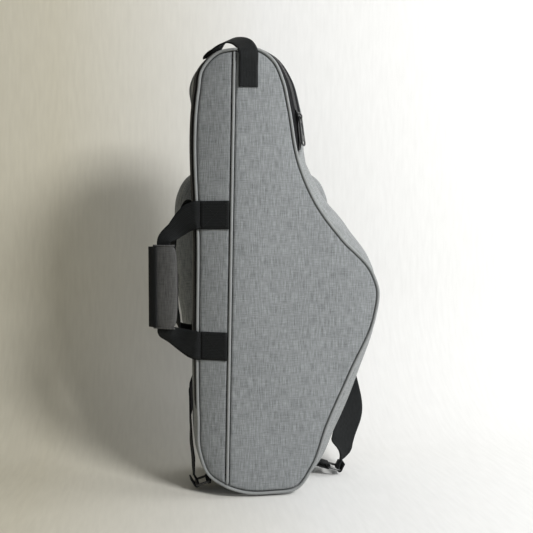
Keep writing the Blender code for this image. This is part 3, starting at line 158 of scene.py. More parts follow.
def coons(bottom: np.ndarray, top: np.ndarray, left: np.ndarray, right: np.ndarray,
          u: np.ndarray, v: np.ndarray) -> np.ndarray:
    """A grid between four boundary curves: the two ruled blends added, less the blend of the corners.

    Args:
        bottom, top: points along u. left, right: points along v.
        u, v: shares across and up.

    Returns:
        Points by [v, u].
    """
    a, b = u[None, :, None], v[:, None, None]
    ruled = (1 - b) * bottom[None] + b * top[None] + (1 - a) * left[:, None] + a * right[:, None]
    corners = (1 - a) * (1 - b) * bottom[0] + a * (1 - b) * bottom[-1]
    corners = corners + (1 - a) * b * top[0] + a * b * top[-1]
    return ruled - corners


def framed(bottom: np.ndarray, top: np.ndarray, left: np.ndarray, right: np.ndarray,
           u: np.ndarray, v: np.ndarray) -> tuple[np.ndarray, np.ndarray]:
    """A Coons grid inside four boundary lines, the short ones shared by length, the long ones by height.

    Args:
        bottom, top: polylines along u. left, right: polylines along v.
        u, v: shares across and up.

    Returns:
        Points by [v, u], and the grid's closed edge.
    """
    bottom, top = by_length(bottom, u), by_length(top, u)
    left, right = by_height(left, v), by_height(right, v)
    edge = np.vstack([bottom, right[1:], top[::-1][1:], left[::-1][1:-1]])
    return coons(bottom, top, left, right, u, v), edge


def spread(across: np.ndarray, along: np.ndarray) -> np.ndarray:
    """Cloth coordinates by [along, across], from running lengths both ways."""
    return np.stack(np.broadcast_arrays(across[None, :], along[:, None]), axis=-1)


def edge_distance(points: np.ndarray, edge: np.ndarray) -> np.ndarray:
    """Distance from each point of a flat grid to the nearest point of a closed polyline.

    Args:
        points: the grid, by [row, column].
        edge: corners of the polyline, whose last joins its first.

    Returns:
        Distances by [row, column].
    """
    flat = points.reshape(-1, 2)
    start, run = edge, np.roll(edge, -1, axis=0) - edge
    size = np.maximum((run ** 2).sum(1), 1e-12)
    away = flat[:, None] - start[None]
    part = np.clip((away * run[None]).sum(2) / size, 0, 1)
    near = np.linalg.norm(away - part[..., None] * run[None], axis=2)
    return near.min(1).reshape(points.shape[:-1])


def roll_in(distance: np.ndarray, depth: float = 0.0024, reach: float = 0.0016) -> np.ndarray:
    """How far a padded edge turns in: a depth that falls off as an exponential from the seam."""
    return depth * np.exp(-distance / reach)


class Sizes:
    """The case's driving sizes, as the CAD model has them."""

    width = 0.2463
    height = 0.596
    depth = 0.148
    flare = 0.045
    wall = 0.012
    pad = 0.012
    lining = 0.0015
    turn = math.radians(25.0)
    welt = 0.0022
    welt_sink = 0.0015
    seam = welt + 2 * GAP
    edge = welt_sink + welt + GAP
    band = 0.025
    zip_right = 11.25
    zip_left = 20.95
    web = 0.0016
    wide = 0.038
    narrow = 0.0256
    raise_up = 0.005
    slim = 0.001
    cloth = 0.0011
    thread_rise = 0.0001
    outline_shares = (
        (0.256, 0.003, 0.10, 0.18, 0.18),
        (0.398, 0.000, 0.10, 0.18, 0.18),
        (0.544, 0.008, 0.16, 0.28, 0.30),
        (0.625, 0.052, 0.27, 0.49, 0.67),
        (0.714, 0.150, 0.42, 0.73, 1.00),
        (0.845, 0.270, 0.38, 0.69, 0.96),
        (0.984, 0.402, 0.18, 0.44, 0.71),
        (1.000, 0.461, 0.12, 0.38, 0.64),
        (0.965, 0.502, 0.20, 0.47, 0.73),
        (0.793, 0.579, 0.38, 0.67, 0.91),
        (0.646, 0.660, 0.36, 0.62, 0.84),
        (0.554, 0.745, 0.31, 0.56, 0.76),
        (0.491, 0.879, 0.44, 0.69, 0.89),
        (0.463, 0.930, 0.40, 0.62, 0.80),
        (0.402, 0.979, 0.27, 0.44, 0.58),
        (0.339, 0.997, 0.18, 0.29, 0.36),
        (0.211, 0.998, 0.13, 0.27, 0.33),
        (0.116, 0.993, 0.13, 0.27, 0.36),
        (0.028, 0.956, 0.16, 0.18, 0.20),
        (0.010, 0.913, 0.16, 0.11, 0.04),
        (0.004, 0.554, 0.13, 0.09, -0.02),
        (0.001, 0.170, 0.09, 0.07, -0.02),
        (0.010, 0.090, 0.09, 0.07, 0.00),
        (0.060, 0.040, 0.09, 0.09, 0.06),
        (0.150, 0.018, 0.10, 0.20, 0.20),
    )
    crease_shares = (0.152, 0.197)
    fold_foot_shares = (0.0, 0.064)
    fold_head_shares = (0.5725, 0.802)
    pocket_width = 0.2365
    pocket_height = 0.252
    pocket_place_shares = (-0.089, 0.336)
    pocket_base = 0.018
    pocket_tuck = 0.032
    pocket_wall = 0.003
    pocket_zip = 0.006
    pocket_band = 0.012

    pocket_bulge = 0.008
    pocket_shares = (
        (0.12, 0.000), (0.50, 0.000), (0.88, 0.000), (0.94, 0.040), (0.96, 0.130), (1.00, 0.700),
        (0.985, 0.830), (0.93, 0.930), (0.82, 0.990), (0.50, 1.000), (0.18, 0.990), (0.07, 0.930),
        (0.015, 0.830), (0.00, 0.700), (0.04, 0.130), (0.06, 0.040),
    )


class Shape:
    """The case's surfaces, as functions of stations round the outline and of depth."""

    stations = len(Sizes.outline_shares)
    outline = np.array(Sizes.outline_shares) * [Sizes.width, Sizes.height, *[Sizes.flare] * 3]
    fold_foot = np.array(Sizes.fold_foot_shares) * [Sizes.width, Sizes.height]
    fold_head = np.array(Sizes.fold_head_shares) * [Sizes.width, Sizes.height]
    fold_run = (fold_head - fold_foot) / np.linalg.norm(fold_head - fold_foot)
    pocket = np.array(Sizes.pocket_shares) * [Sizes.pocket_width, Sizes.pocket_height] + np.array(
        Sizes.pocket_place_shares) * [Sizes.width, Sizes.height]
    pocket_stations = len(Sizes.pocket_shares)
    tangent_step = 0.01
    search_steps = 2400
    zip_right_ramp = 0.35
    zip_left_ramp = 0.10

    @classmethod
    def traced(cls, line: np.ndarray, at: np.ndarray) -> tuple[np.ndarray, np.ndarray]:
        """Rows of a closed line at stations, and the outward normals there.

        Args:
            line: the line's rows, whose first two columns are the place.
            at: stations.

        Returns:
            All columns of each row, and a flat unit vector for each.
        """
        ahead, behind = (smooth(line, at + step, closed=True, spatial=2)[:, :2]
                         for step in (cls.tangent_step, -cls.tangent_step))
        along = unit(ahead - behind)
        return smooth(line, at, closed=True, spatial=2), np.column_stack([along[:, 1], -along[:, 0]])

    @classmethod
    def outline_at(cls, at: np.ndarray) -> tuple[np.ndarray, np.ndarray, np.ndarray]:
        """Outline points, outward normals and swell at stations."""
        here, outward = cls.traced(cls.outline, at)
        return here[:, :2], outward, here[:, 2:]

    @staticmethod
    def crease_x(z: np.ndarray) -> np.ndarray:
        """Where the crease lies at a height: a straight line from foot to head."""
        foot, head = Sizes.crease_shares
        return (foot + (head - foot) * z / Sizes.height) * Sizes.width

    @classmethod
    def front_y(cls, x: np.ndarray, z: np.ndarray) -> np.ndarray:
        """Depth of the front: flat, then turned back beyond the crease."""
        return np.maximum(cls.crease_x(z) - x, 0.0) * math.tan(Sizes.turn)

    @staticmethod
    def wall_edge(at: np.ndarray) -> np.ndarray:
        """How far the wall's front edge lies behind the seam: at the welt, or behind the zip band.

        Args:
            at: stations.

        Returns:
            A distance for each station, eased between the two levels at the zip's ends.
        """
        rise = np.clip((at - Sizes.zip_right) / Shape.zip_right_ramp + 0.5, 0, 1)
        fall = np.clip((Sizes.zip_left - at) / Shape.zip_left_ramp + 0.5, 0, 1)
        weight = np.minimum(rise, fall)
        return Sizes.edge + (Sizes.band - Sizes.edge) * weight * weight * (3 - 2 * weight)

    @classmethod
    def skin(cls, at: np.ndarray, behind: np.ndarray, inset: np.ndarray = 0.0) -> np.ndarray:
        """Points of the wall: the outline, pushed out by its swell, which is linear between knots.

        Args:
            at: stations, one row of points each.
            behind: distances behind the front seam, for each station or one for all.
            inset: how far the points are drawn in.

        Returns:
            A point for each station.
        """
        at = np.asarray(at, float)
        place, outward, swell = cls.outline_at(at)
        front = cls.front_y(place[:, 0], place[:, 1])
        share = np.broadcast_to(behind / (Sizes.depth - front), at.shape)
        knots = row(0.0, Sizes.band / Sizes.depth, 0.5, 1.0)
        levels = np.column_stack([np.zeros(len(swell)), swell])
        cell = np.clip(np.searchsorted(knots, share, side="right") - 1, 0, 2)
        part = (share - knots[cell]) / (knots[cell + 1] - knots[cell])
        rows = np.arange(len(at))
        out = levels[rows, cell] * (1 - part) + levels[rows, cell + 1] * part
        flat = place + outward * (out - inset)[:, None]
        height = np.maximum(flat[:, 1], -Sizes.raise_up)
        return np.column_stack([flat[:, 0], front + (Sizes.depth - front) * share, height])

    @classmethod
    def back_behind(cls, at: np.ndarray, depth: float) -> np.ndarray:
        """The distance behind the front seam at which a station reaches a depth."""
        place, _, _ = cls.outline_at(at)
        return depth - cls.front_y(place[:, 0], place[:, 1])

    @classmethod
    def crease_stations(cls, offset: float, inset: float) -> list[float]:
        """Stations at which the drawn-in outline passes a line beside the crease.

        Args:
            offset: how far right of the crease the line lies.
            inset: how far the outline is drawn in.

        Returns:
            The stations, the upper one first.
        """
        at = np.linspace(0, cls.stations, cls.search_steps, endpoint=False)
        place, outward, _ = cls.outline_at(at)
        place = place - outward * inset
        value = place[:, 0] - cls.crease_x(place[:, 1]) - offset
        after = np.roll(value, -1)
        found = np.nonzero(np.signbit(value) != np.signbit(after))[0]
        step = cls.stations / cls.search_steps
        return [at[k] + step * value[k] / (value[k] - after[k]) for k in found]

    @classmethod
    def pocket_ring(cls, at: np.ndarray, inset: np.ndarray, depth: np.ndarray) -> np.ndarray:
        """The pocket's outline at stations, drawn in, at a depth behind the back panel.

        Args:
            at: stations.
            inset, depth: distances, for each station or one for all.

        Returns:
            A point for each station.
        """
        here, outward = cls.traced(cls.pocket, at)
        flat = here - outward * np.reshape(inset, (-1, 1))
        deep = np.broadcast_to(Sizes.depth + depth, (len(flat),))
        return np.column_stack([flat[:, 0], deep, flat[:, 1]])

    @classmethod
    def spine_point(cls, x: float, z: float, off: float) -> np.ndarray:
        """A point in front of the spine panel's plane."""
        depth = (cls.crease_x(z) - x) * math.tan(Sizes.turn)
        return row(x - off * math.sin(Sizes.turn), depth - off * math.cos(Sizes.turn), z)


class Threads:
    """Node groups that more than one finish uses, each built once."""

    @staticmethod
    def start(name: str, inputs: dict[str, tuple[str, object]], outputs: dict[str, str]):
        """An empty group with named sockets.

        Args:
            name: the group's name.
            inputs: socket name to its kind and default.
            outputs: socket name to its kind.

        Returns:
            The group, its input node and its output node.
        """
        group = bpy.data.node_groups.new(name, "ShaderNodeTree")
        for label, (kind, default) in inputs.items():
            socket = group.interface.new_socket(label, in_out="INPUT", socket_type=kind)
            if default is not None:
                socket.default_value = default
        for label, kind in outputs.items():
            group.interface.new_socket(label, in_out="OUTPUT", socket_type=kind)
        return group, group.nodes.new("NodeGroupInput"), group.nodes.new("NodeGroupOutput")

    @staticmethod
    def maths(group: bpy.types.NodeTree, operation: str, *values: object) -> bpy.types.NodeSocket:
        """A Math node on numbers or sockets.

        Args:
            group: the tree that holds the node.
            operation: what the node does.
            values: a number or a socket for each input.

        Returns:
            The result's socket.
        """
        node = group.nodes.new("ShaderNodeMath")
        node.operation = operation
        Threads.feed(group, node.inputs, values)
        return node.outputs[0]

    @staticmethod
    def feed(group: bpy.types.NodeTree, slots: Sequence, values: Sequence) -> None:
        """Link sockets to a node's inputs, or set numbers and colours on them."""
        for slot, value in zip(slots, values):
            if isinstance(value, bpy.types.NodeSocket):
                group.links.new(value, slot)
            else:
                slot.default_value = value

    @classmethod
    def clamp(cls, group: bpy.types.NodeTree, value: bpy.types.NodeSocket) -> bpy.types.NodeSocket:
        """A value held between 0 and 1."""
        return cls.maths(group, "MAXIMUM", cls.maths(group, "MINIMUM", value, 1.0), 0.0)

    @staticmethod
    def blend(group: bpy.types.NodeTree, share: object, low: object, high: object) -> bpy.types.NodeSocket:
        """A colour between two colours.

        Args:
            group: the tree that holds the node.
            share: how far towards the high colour, from 0 to 1.
            low, high: the two colours.

        Returns:
            The colour's socket.
        """
        node = group.nodes.new("ShaderNodeMix")
        node.data_type = "RGBA"
        Threads.feed(group, (node.inputs[0], node.inputs[6], node.inputs[7]), (share, low, high))
        return node.outputs[2]

    @staticmethod
    def noise(group: bpy.types.NodeTree, vector: bpy.types.NodeSocket, stretch: Sequence[float],
              detail: float = 2.0) -> bpy.types.NodeSocket:
        """Smooth noise on a stretched vector.

        Args:
            group: the tree that holds the nodes.
            vector: where the noise is read.
            stretch: cycles to the metre, along each axis.
            detail: how many finer octaves are added.

        Returns:
            The noise's socket, from 0 to 1.
        """
        scale = group.nodes.new("ShaderNodeVectorMath")
        scale.operation = "MULTIPLY"
        group.links.new(vector, scale.inputs[0])
        scale.inputs[1].default_value = stretch
        node = group.nodes.new("ShaderNodeTexNoise")
        node.inputs["Scale"].default_value = 1.0
        node.inputs["Detail"].default_value = detail
        group.links.new(scale.outputs[0], node.inputs["Vector"])
        return node.outputs["Fac"]

    @classmethod
    @cache
    def weave(cls) -> bpy.types.NodeTree:
        """Plain weave of slubby yarns.

        Two sets of yarns cross at the pitch. The product of their sines says which lies on top, each
        yarn's colour runs between the dark and the light one with noise stretched along the yarn, and
        the height is the top yarn's own round profile.
        """
        group, given, out = cls.start(
            "crossed_yarns",
            {
                "Vector": ("NodeSocketVector", None),
                "Pitch": ("NodeSocketFloat", 0.0009),
                "Dark": ("NodeSocketColor", (0.1, 0.1, 0.1, 1)),
                "Light": ("NodeSocketColor", (0.5, 0.5, 0.5, 1)),
                "Slub": ("NodeSocketFloat", 1.6),
                "Mottle": ("NodeSocketFloat", 0.3),
            },
            {"Color": "NodeSocketColor", "Height": "NodeSocketFloat"},
        )
        split = group.nodes.new("ShaderNodeSeparateXYZ")
        group.links.new(given.outputs["Vector"], split.inputs[0])
        turns = []
        for axis in (0, 1):
            angle = cls.maths(group, "DIVIDE", split.outputs[axis], given.outputs["Pitch"])
            angle = cls.maths(group, "MULTIPLY", angle, math.pi)
            turns.append(cls.maths(group, "SINE", angle))
        over = cls.maths(group, "MULTIPLY", turns[0], turns[1])
        over = cls.clamp(group, cls.maths(group, "MULTIPLY_ADD", over, 3.0, 0.5))
        warp = cls.noise(group, given.outputs["Vector"], (720.0, 62.0, 1.0))
        weft = cls.noise(group, given.outputs["Vector"], (74.0, 820.0, 1.0))
        tones = []
        for noise, weight in ((warp, 1.0), (weft, 0.62)):
            tone = cls.maths(group, "SUBTRACT", noise, 0.5)
            tone = cls.maths(group, "MULTIPLY", tone, given.outputs["Slub"])
            tone = cls.maths(group, "MULTIPLY", tone, weight)
            tones.append(cls.maths(group, "ADD", tone, 0.5))
        top = cls.maths(group, "MULTIPLY", tones[0], over)
        under = cls.maths(group, "MULTIPLY", tones[1], cls.maths(group, "SUBTRACT", 1.0, over))
        tone = cls.maths(group, "ADD", top, under)
        cloud = cls.noise(group, given.outputs["Vector"], (14.0, 9.0, 1.0), 3.0)
        cloud = cls.maths(group, "SUBTRACT", cloud, 0.5)
        cloud = cls.maths(group, "MULTIPLY", cloud, given.outputs["Mottle"])
        tone = cls.clamp(group, cls.maths(group, "ADD", tone, cloud))
        colour = cls.blend(group, tone, given.outputs["Dark"], given.outputs["Light"])
        rounds = [cls.maths(group, "ABSOLUTE", turn) for turn in turns]
        high = cls.maths(group, "MULTIPLY", rounds[0], over)
        low = cls.maths(group, "MULTIPLY", rounds[1], cls.maths(group, "SUBTRACT", 1.0, over))
        height = cls.maths(group, "ADD", high, low)
        height = cls.maths(group, "ADD", height, cls.maths(group, "MULTIPLY", tone, 0.5))
        group.links.new(colour, out.inputs["Color"])
        group.links.new(height, out.inputs["Height"])
        return group

    @classmethod
    @cache
    def ribs(cls) -> bpy.types.NodeTree:
        """Ribbed webbing: ridges along the strip with picks across them, offset from rib to rib.

        The ridge height is the sine across the strip, the picks are a sine along it whose phase turns
        with the rib, and the colour follows both with a little noise.
        """
        group, given, out = cls.start(
            "ribbed_webbing",
            {
                "Vector": ("NodeSocketVector", None),
                "Rib": ("NodeSocketFloat", 0.0021),
                "Pick": ("NodeSocketFloat", 0.0011),
                "Dark": ("NodeSocketColor", (0.006, 0.006, 0.007, 1)),
                "Light": ("NodeSocketColor", (0.03, 0.03, 0.032, 1)),
            },
            {"Color": "NodeSocketColor", "Height": "NodeSocketFloat"},
        )
        split = group.nodes.new("ShaderNodeSeparateXYZ")
        group.links.new(given.outputs["Vector"], split.inputs[0])
        turns = []
        for length, label in zip(split.outputs, ("Rib", "Pick")):
            turn = cls.maths(group, "DIVIDE", length, given.outputs[label])
            turns.append(cls.maths(group, "MULTIPLY", turn, 2 * math.pi))
        rib, pick = turns
        ridge = cls.maths(group, "SINE", rib)
        pick = cls.maths(group, "ADD", pick, cls.maths(group, "MULTIPLY", ridge, 1.6))
        picks = cls.maths(group, "SINE", pick)
        height = cls.maths(group, "MULTIPLY_ADD", ridge, 0.3, 0.5)
        height = cls.maths(group, "MULTIPLY_ADD", picks, 0.2, height)
        fleck = cls.noise(group, given.outputs["Vector"], (500.0, 90.0, 1.0))
        fleck = cls.maths(group, "SUBTRACT", fleck, 0.5)
        tone = cls.clamp(group, cls.maths(group, "MULTIPLY_ADD", fleck, 0.9, height))
        colour = cls.blend(group, tone, given.outputs["Dark"], given.outputs["Light"])
        group.links.new(colour, out.inputs["Color"])
        group.links.new(height, out.inputs["Height"])
        return group

    @classmethod
    @cache
    def wear(cls) -> bpy.types.NodeTree:
        """Handling marks: broad noise times fine noise for the colour, and fine noise for the roughness."""
        group, given, out = cls.start(
            "handling_wear",
            {
                "Vector": ("NodeSocketVector", None),
                "Base": ("NodeSocketColor", (0.03, 0.03, 0.03, 1)),
                "Worn": ("NodeSocketColor", (0.2, 0.2, 0.2, 1)),
                "Amount": ("NodeSocketFloat", 0.3),
                "Roughness": ("NodeSocketFloat", 0.4),
            },
            {"Color": "NodeSocketColor", "Roughness": "NodeSocketFloat", "Height": "NodeSocketFloat"},
        )
        fine = cls.noise(group, given.outputs["Vector"], (1400.0, 1400.0, 1400.0), 3.0)
        broad = cls.noise(group, given.outputs["Vector"], (130.0, 130.0, 130.0), 2.0)
        mark = cls.maths(group, "MULTIPLY", broad, fine)
        mark = cls.maths(group, "MULTIPLY", mark, given.outputs["Amount"])
        colour = cls.blend(group, mark, given.outputs["Base"], given.outputs["Worn"])
        rough = cls.maths(group, "MULTIPLY_ADD", cls.maths(group, "SUBTRACT", fine, 0.5), 0.25,
                          given.outputs["Roughness"])
        group.links.new(colour, out.inputs["Color"])
        group.links.new(rough, out.inputs["Roughness"])
        group.links.new(fine, out.inputs["Height"])
        return group


class Source(Enum):
    """Where a finish reads its pattern from."""

    CUT = "the piece's own cloth coordinates, in metres"
    SOLID = "the object's coordinates"


@dataclass(frozen=True)
class Finish:
    """A material with a pattern group.

    Fields: name, record slot, group builder, the group's values, roughness, sheen, metallic, specular
    level, the bump's depth in metres, where the pattern is read, and how far it is turned on the cloth.
    """

    name: str
    slot: str
    pattern: Callable[[], bpy.types.NodeTree]
    values: tuple[tuple[str, object], ...]
    roughness: float = 0.9
    sheen: float = 0.0
    metallic: float = 0.0
    gloss: float = 0.35
    relief: float = 0.0002
    source: Source = Source.CUT
    turn: float = 0.0

    def material(self) -> bpy.types.Material:
        """The finish's material, made once."""
        found = bpy.data.materials.get(self.name)
        if found:
            return found
        material = bpy.data.materials.new(self.name)
        material.use_nodes = True
        tree = material.node_tree
        shader = tree.nodes["Principled BSDF"]
        shader.inputs["Roughness"].default_value = self.roughness
        shader.inputs["Metallic"].default_value = self.metallic
        shader.inputs["Specular IOR Level"].default_value = self.gloss
        shader.inputs["Sheen Weight"].default_value = self.sheen
        shader.inputs["Sheen Roughness"].default_value = 0.5
        group = tree.nodes.new("ShaderNodeGroup")
        group.node_tree = self.pattern()
        for label, value in self.values:
            group.inputs[label].default_value = value
        if self.source is Source.CUT:
            place = tree.nodes.new("ShaderNodeUVMap")
            place.uv_map = "cut"
            vector = place.outputs["UV"]
        else:
            vector = tree.nodes.new("ShaderNodeTexCoord").outputs["Object"]
        if self.turn:
            mapping = tree.nodes.new("ShaderNodeMapping")
            mapping.inputs["Rotation"].default_value[2] = self.turn
            tree.links.new(vector, mapping.inputs["Vector"])
            vector = mapping.outputs["Vector"]
        tree.links.new(vector, group.inputs["Vector"])
        tree.links.new(group.outputs["Color"], shader.inputs["Base Color"])
        if "Roughness" in group.outputs:
            tree.links.new(group.outputs["Roughness"], shader.inputs["Roughness"])
        bump = tree.nodes.new("ShaderNodeBump")
        bump.inputs["Strength"].default_value = 0.6
        bump.inputs["Distance"].default_value = self.relief
        tree.links.new(group.outputs["Height"], bump.inputs["Height"])
        tree.links.new(bump.outputs["Normal"], shader.inputs["Normal"])
        return material


CANVAS = Finish(
    "heather_canvas", "canvas", Threads.weave,
    (("Pitch", 0.00085), ("Dark", (0.055, 0.059, 0.061, 1)), ("Light", (0.45, 0.475, 0.49, 1)),
     ("Slub", 1.7), ("Mottle", 0.16)), sheen=0.05, relief=0.00022)
CANVAS_WALL = Finish(
    "heather_canvas_wall", "canvas", Threads.weave,
    (("Pitch", 0.00085), ("Dark", (0.055, 0.058, 0.059, 1)), ("Light", (0.45, 0.47, 0.475, 1)),
     ("Slub", 1.7), ("Mottle", 0.16)), sheen=0.05, relief=0.00022, turn=math.pi / 2)
# painted shade: dark grey cloth, darkened further to stand for the case's shadow over the grip
GRIP_CLOTH = Finish(
    "grip_cloth_painted_shade", "grip_cloth", Threads.weave,
    (("Pitch", 0.00085), ("Dark", (0.022, 0.022, 0.023, 1)), ("Light", (0.165, 0.165, 0.162, 1)),
     ("Slub", 1.5), ("Mottle", 0.25)), relief=0.00022)
PIPING = Finish(
    "piping_cloth", "welt", Threads.weave,
    (("Pitch", 0.0006), ("Dark", (0.17, 0.180, 0.182, 1)), ("Light", (0.38, 0.395, 0.395, 1)),
     ("Slub", 0.9), ("Mottle", 0.15)), roughness=0.8, sheen=0.1, relief=0.00012, turn=math.radians(45))
WEBBING = Finish(
    "black_webbing", "webbing", Threads.ribs,
    (("Rib", 0.0021), ("Pick", 0.0012), ("Dark", (0.003, 0.0034, 0.0036, 1)),
     ("Light", (0.017, 0.019, 0.020, 1))), roughness=0.8, gloss=0.22, relief=0.00030)
TAPE = Finish(
    "zip_tape_cloth", "zip_tape", Threads.ribs,
    (("Rib", 0.0009), ("Pick", 0.0008), ("Dark", (0.003, 0.003, 0.0035, 1)),
     ("Light", (0.014, 0.014, 0.016, 1))), roughness=0.85, gloss=0.15, relief=0.00012)
THREAD = Finish(
    "black_thread", "webbing", Threads.wear,
    (("Base", (0.010, 0.010, 0.011, 1)), ("Worn", (0.06, 0.06, 0.06, 1)), ("Roughness", 0.6)),
    relief=0.00005, source=Source.SOLID)
COIL = Finish(
    "zip_coil_plastic", "zip_coil", Threads.wear,
    (("Base", (0.010, 0.010, 0.011, 1)), ("Worn", (0.09, 0.09, 0.095, 1)), ("Amount", 0.6),
     ("Roughness", 0.38)), relief=0.00003, source=Source.SOLID)
METAL = Finish(
    "dark_plated_metal", "dark_metal", Threads.wear,
    (("Base", (0.055, 0.056, 0.058, 1)), ("Worn", (0.42, 0.42, 0.42, 1)), ("Amount", 0.5),
     ("Roughness", 0.30)), metallic=1.0, relief=0.00002, source=Source.SOLID)
PLASTIC = Finish(
    "moulded_plastic", "black_plastic", Threads.wear,
    (("Base", (0.012, 0.012, 0.013, 1)), ("Worn", (0.08, 0.08, 0.08, 1)), ("Roughness", 0.45)),
    relief=0.00003, source=Source.SOLID)
PLUSH = Finish(
    "black_plush", "plush", Threads.wear,
    (("Base", (0.012, 0.012, 0.014, 1)), ("Worn", (0.085, 0.085, 0.095, 1)), ("Amount", 1.5),
     ("Roughness", 0.95)), sheen=0.5, relief=0.0006, source=Source.SOLID)
FOAM_COVER = Finish(
    "plush_over_foam", "foam", Threads.wear,
    (("Base", (0.014, 0.014, 0.016, 1)), ("Worn", (0.09, 0.09, 0.10, 1)), ("Amount", 1.5),
     ("Roughness", 0.95)), sheen=0.5, relief=0.0006, source=Source.SOLID)


class Surfaces:
    """Turns grids of points into finished pieces."""

    cloth_frames = 20
    tube_lead = row(0.13, 1.0, 0.21)

    @staticmethod
    def grid(name: str, points: np.ndarray, cut: np.ndarray, wrap_rows: bool = False,
             wrap_columns: bool = False) -> bpy.types.Object:
        """An object from a grid of points, with the cloth's own coordinates.

        Args:
            name: the piece's name.
            points: points by [row, column], in the case's frame.
            cut: cloth coordinates in metres, with one more row or column where the grid wraps.
            wrap_rows, wrap_columns: whether the last row or column joins the first.

        Returns:
            The object, at the origin.
        """
        rows, columns = points.shape[:2]
        a, b = np.meshgrid(np.arange(rows - (not wrap_rows)), np.arange(columns - (not wrap_columns)),
                           indexing="ij")
        corners = ((a, b), (a, b + 1), (a + 1, b + 1), (a + 1, b))
        index = np.stack([(p % rows) * columns + q % columns for p, q in corners], axis=-1).reshape(-1)
        layout = np.stack([cut[p, q] for p, q in corners], axis=-2).reshape(-1)
        mesh = bpy.data.meshes.new(name)
        mesh.vertices.add(rows * columns)
        mesh.vertices.foreach_set("co", (points.reshape(-1, 3) + ORIGIN).astype(np.float32).ravel())
        mesh.loops.add(len(index))
        mesh.loops.foreach_set("vertex_index", index.astype(np.int32))
        mesh.polygons.add(len(index) // 4)
        mesh.polygons.foreach_set("loop_start", np.arange(0, len(index), 4, dtype=np.int32))
        mesh.uv_layers.new(name="cut").uv.foreach_set("vector", layout.astype(np.float32))
        mesh.update(calc_edges=True)
        mesh.shade_smooth()
        piece = bpy.data.objects.new(name, mesh)
        bpy.context.scene.collection.objects.link(piece)
        return piece

    @staticmethod
    def face_from(piece: bpy.types.Object, centre: Sequence[float]) -> None:
        """Turn an open surface so that its faces look away from a point.

        Args:
            piece: the surface.
            centre: the point, in the case's frame.
        """
        mesh = piece.data
        count = len(mesh.polygons)
        normals = np.empty(count * 3)
        places = np.empty(count * 3)
        areas = np.empty(count)
        mesh.polygons.foreach_get("normal", normals)
        mesh.polygons.foreach_get("center", places)
        mesh.polygons.foreach_get("area", areas)
        away = places.reshape(-1, 3) - (np.asarray(centre) + ORIGIN)
        if ((normals.reshape(-1, 3) * away).sum(1) * areas).sum() < 0:
            mesh.flip_normals()

    @staticmethod
    def applied(piece: bpy.types.Object) -> bpy.types.Object:
        """Apply a piece's modifiers.

        Args:
            piece: the piece, which keeps its name.

        Returns:
            The same piece.
        """
        bpy.context.view_layer.update()
        graph = bpy.context.evaluated_depsgraph_get()
        mesh = bpy.data.meshes.new_from_object(piece.evaluated_get(graph), depsgraph=graph)
        piece.modifiers.clear()
        piece.data = mesh
        mesh.name = piece.name
        return piece

    @staticmethod
    def closed(piece: bpy.types.Object) -> bpy.types.Object:
        """Weld a piece's poles and seams and turn its faces outwards.

        Args:
            piece: a piece that is closed once welded.

        Returns:
            The same piece.
        """
        bm = bmesh.new()
        bm.from_mesh(piece.data)
        bmesh.ops.remove_doubles(bm, verts=bm.verts, dist=0.00001)
        bmesh.ops.recalc_face_normals(bm, faces=bm.faces)
        bm.to_mesh(piece.data)
        bm.free()
        piece.data.shade_smooth()
        return piece

    @classmethod
    def thicken(cls, piece: bpy.types.Object, thickness: float, side: float = -1.0) -> bpy.types.Object:
        """Give an open surface a thickness.

        Args:
            piece: the surface.
            thickness: how thick it gets.
            side: inwards (-1), both ways (0) or outwards (1).

        Returns:
            The same piece.
        """
        solid = piece.modifiers.new("thickness", "SOLIDIFY")
        solid.thickness = thickness
        solid.offset = side
        solid.use_even_offset = False
        return cls.applied(piece)

    @staticmethod
    def swell(piece: bpy.types.Object, pinned: np.ndarray, cap: float, pressure: float = 4.0) -> None:
        """Fill an open surface as padding fills cloth: pinned at its seams, pushed out by pressure.

        Cloth runs for a few frames without gravity. Each point's move d is then shortened to
        d / (1 + |d| / cap), so none passes the cap and the crown stays soft.

        Args:
            piece: the surface, facing outwards.
            pinned: whether each vertex is held by a seam.
            cap: the furthest that a vertex may move, in metres.
            pressure: the cloth's pressure.
        """
        held = piece.vertex_groups.new(name="seam")
        held.add(np.nonzero(pinned)[0].tolist(), 1.0, "REPLACE")
        cloth = piece.modifiers.new("cloth", "CLOTH")
        settings = cloth.settings
        settings.quality = 4
        settings.vertex_group_mass = "seam"
        settings.use_pressure = True
        settings.uniform_pressure_force = pressure
        settings.tension_stiffness = 20
        settings.compression_stiffness = 20
        settings.shear_stiffness = 8
        settings.bending_stiffness = 1.0
        settings.effector_weights.gravity = 0.0
        cloth.collision_settings.use_collision = False
        cloth.point_cache.frame_start = 1
        cloth.point_cache.frame_end = Surfaces.cloth_frames
        scene = bpy.context.scene
        for number in range(1, Surfaces.cloth_frames + 1):
            scene.frame_set(number)
        count = len(piece.data.vertices)
        before = np.empty(count * 3, np.float32)
        after = np.empty(count * 3, np.float32)
        piece.data.vertices.foreach_get("co", before)
        shown = piece.evaluated_get(bpy.context.evaluated_depsgraph_get())
        shown.data.vertices.foreach_get("co", after)
        move = np.nan_to_num((after - before).reshape(-1, 3))
        move = move / (1 + np.linalg.norm(move, axis=1, keepdims=True) / cap)
        piece.modifiers.remove(cloth)
        piece.vertex_groups.remove(held)
        piece.data.vertices.foreach_set("co", (before.reshape(-1, 3) + move).ravel())
        piece.data.update()
        scene.frame_set(1)

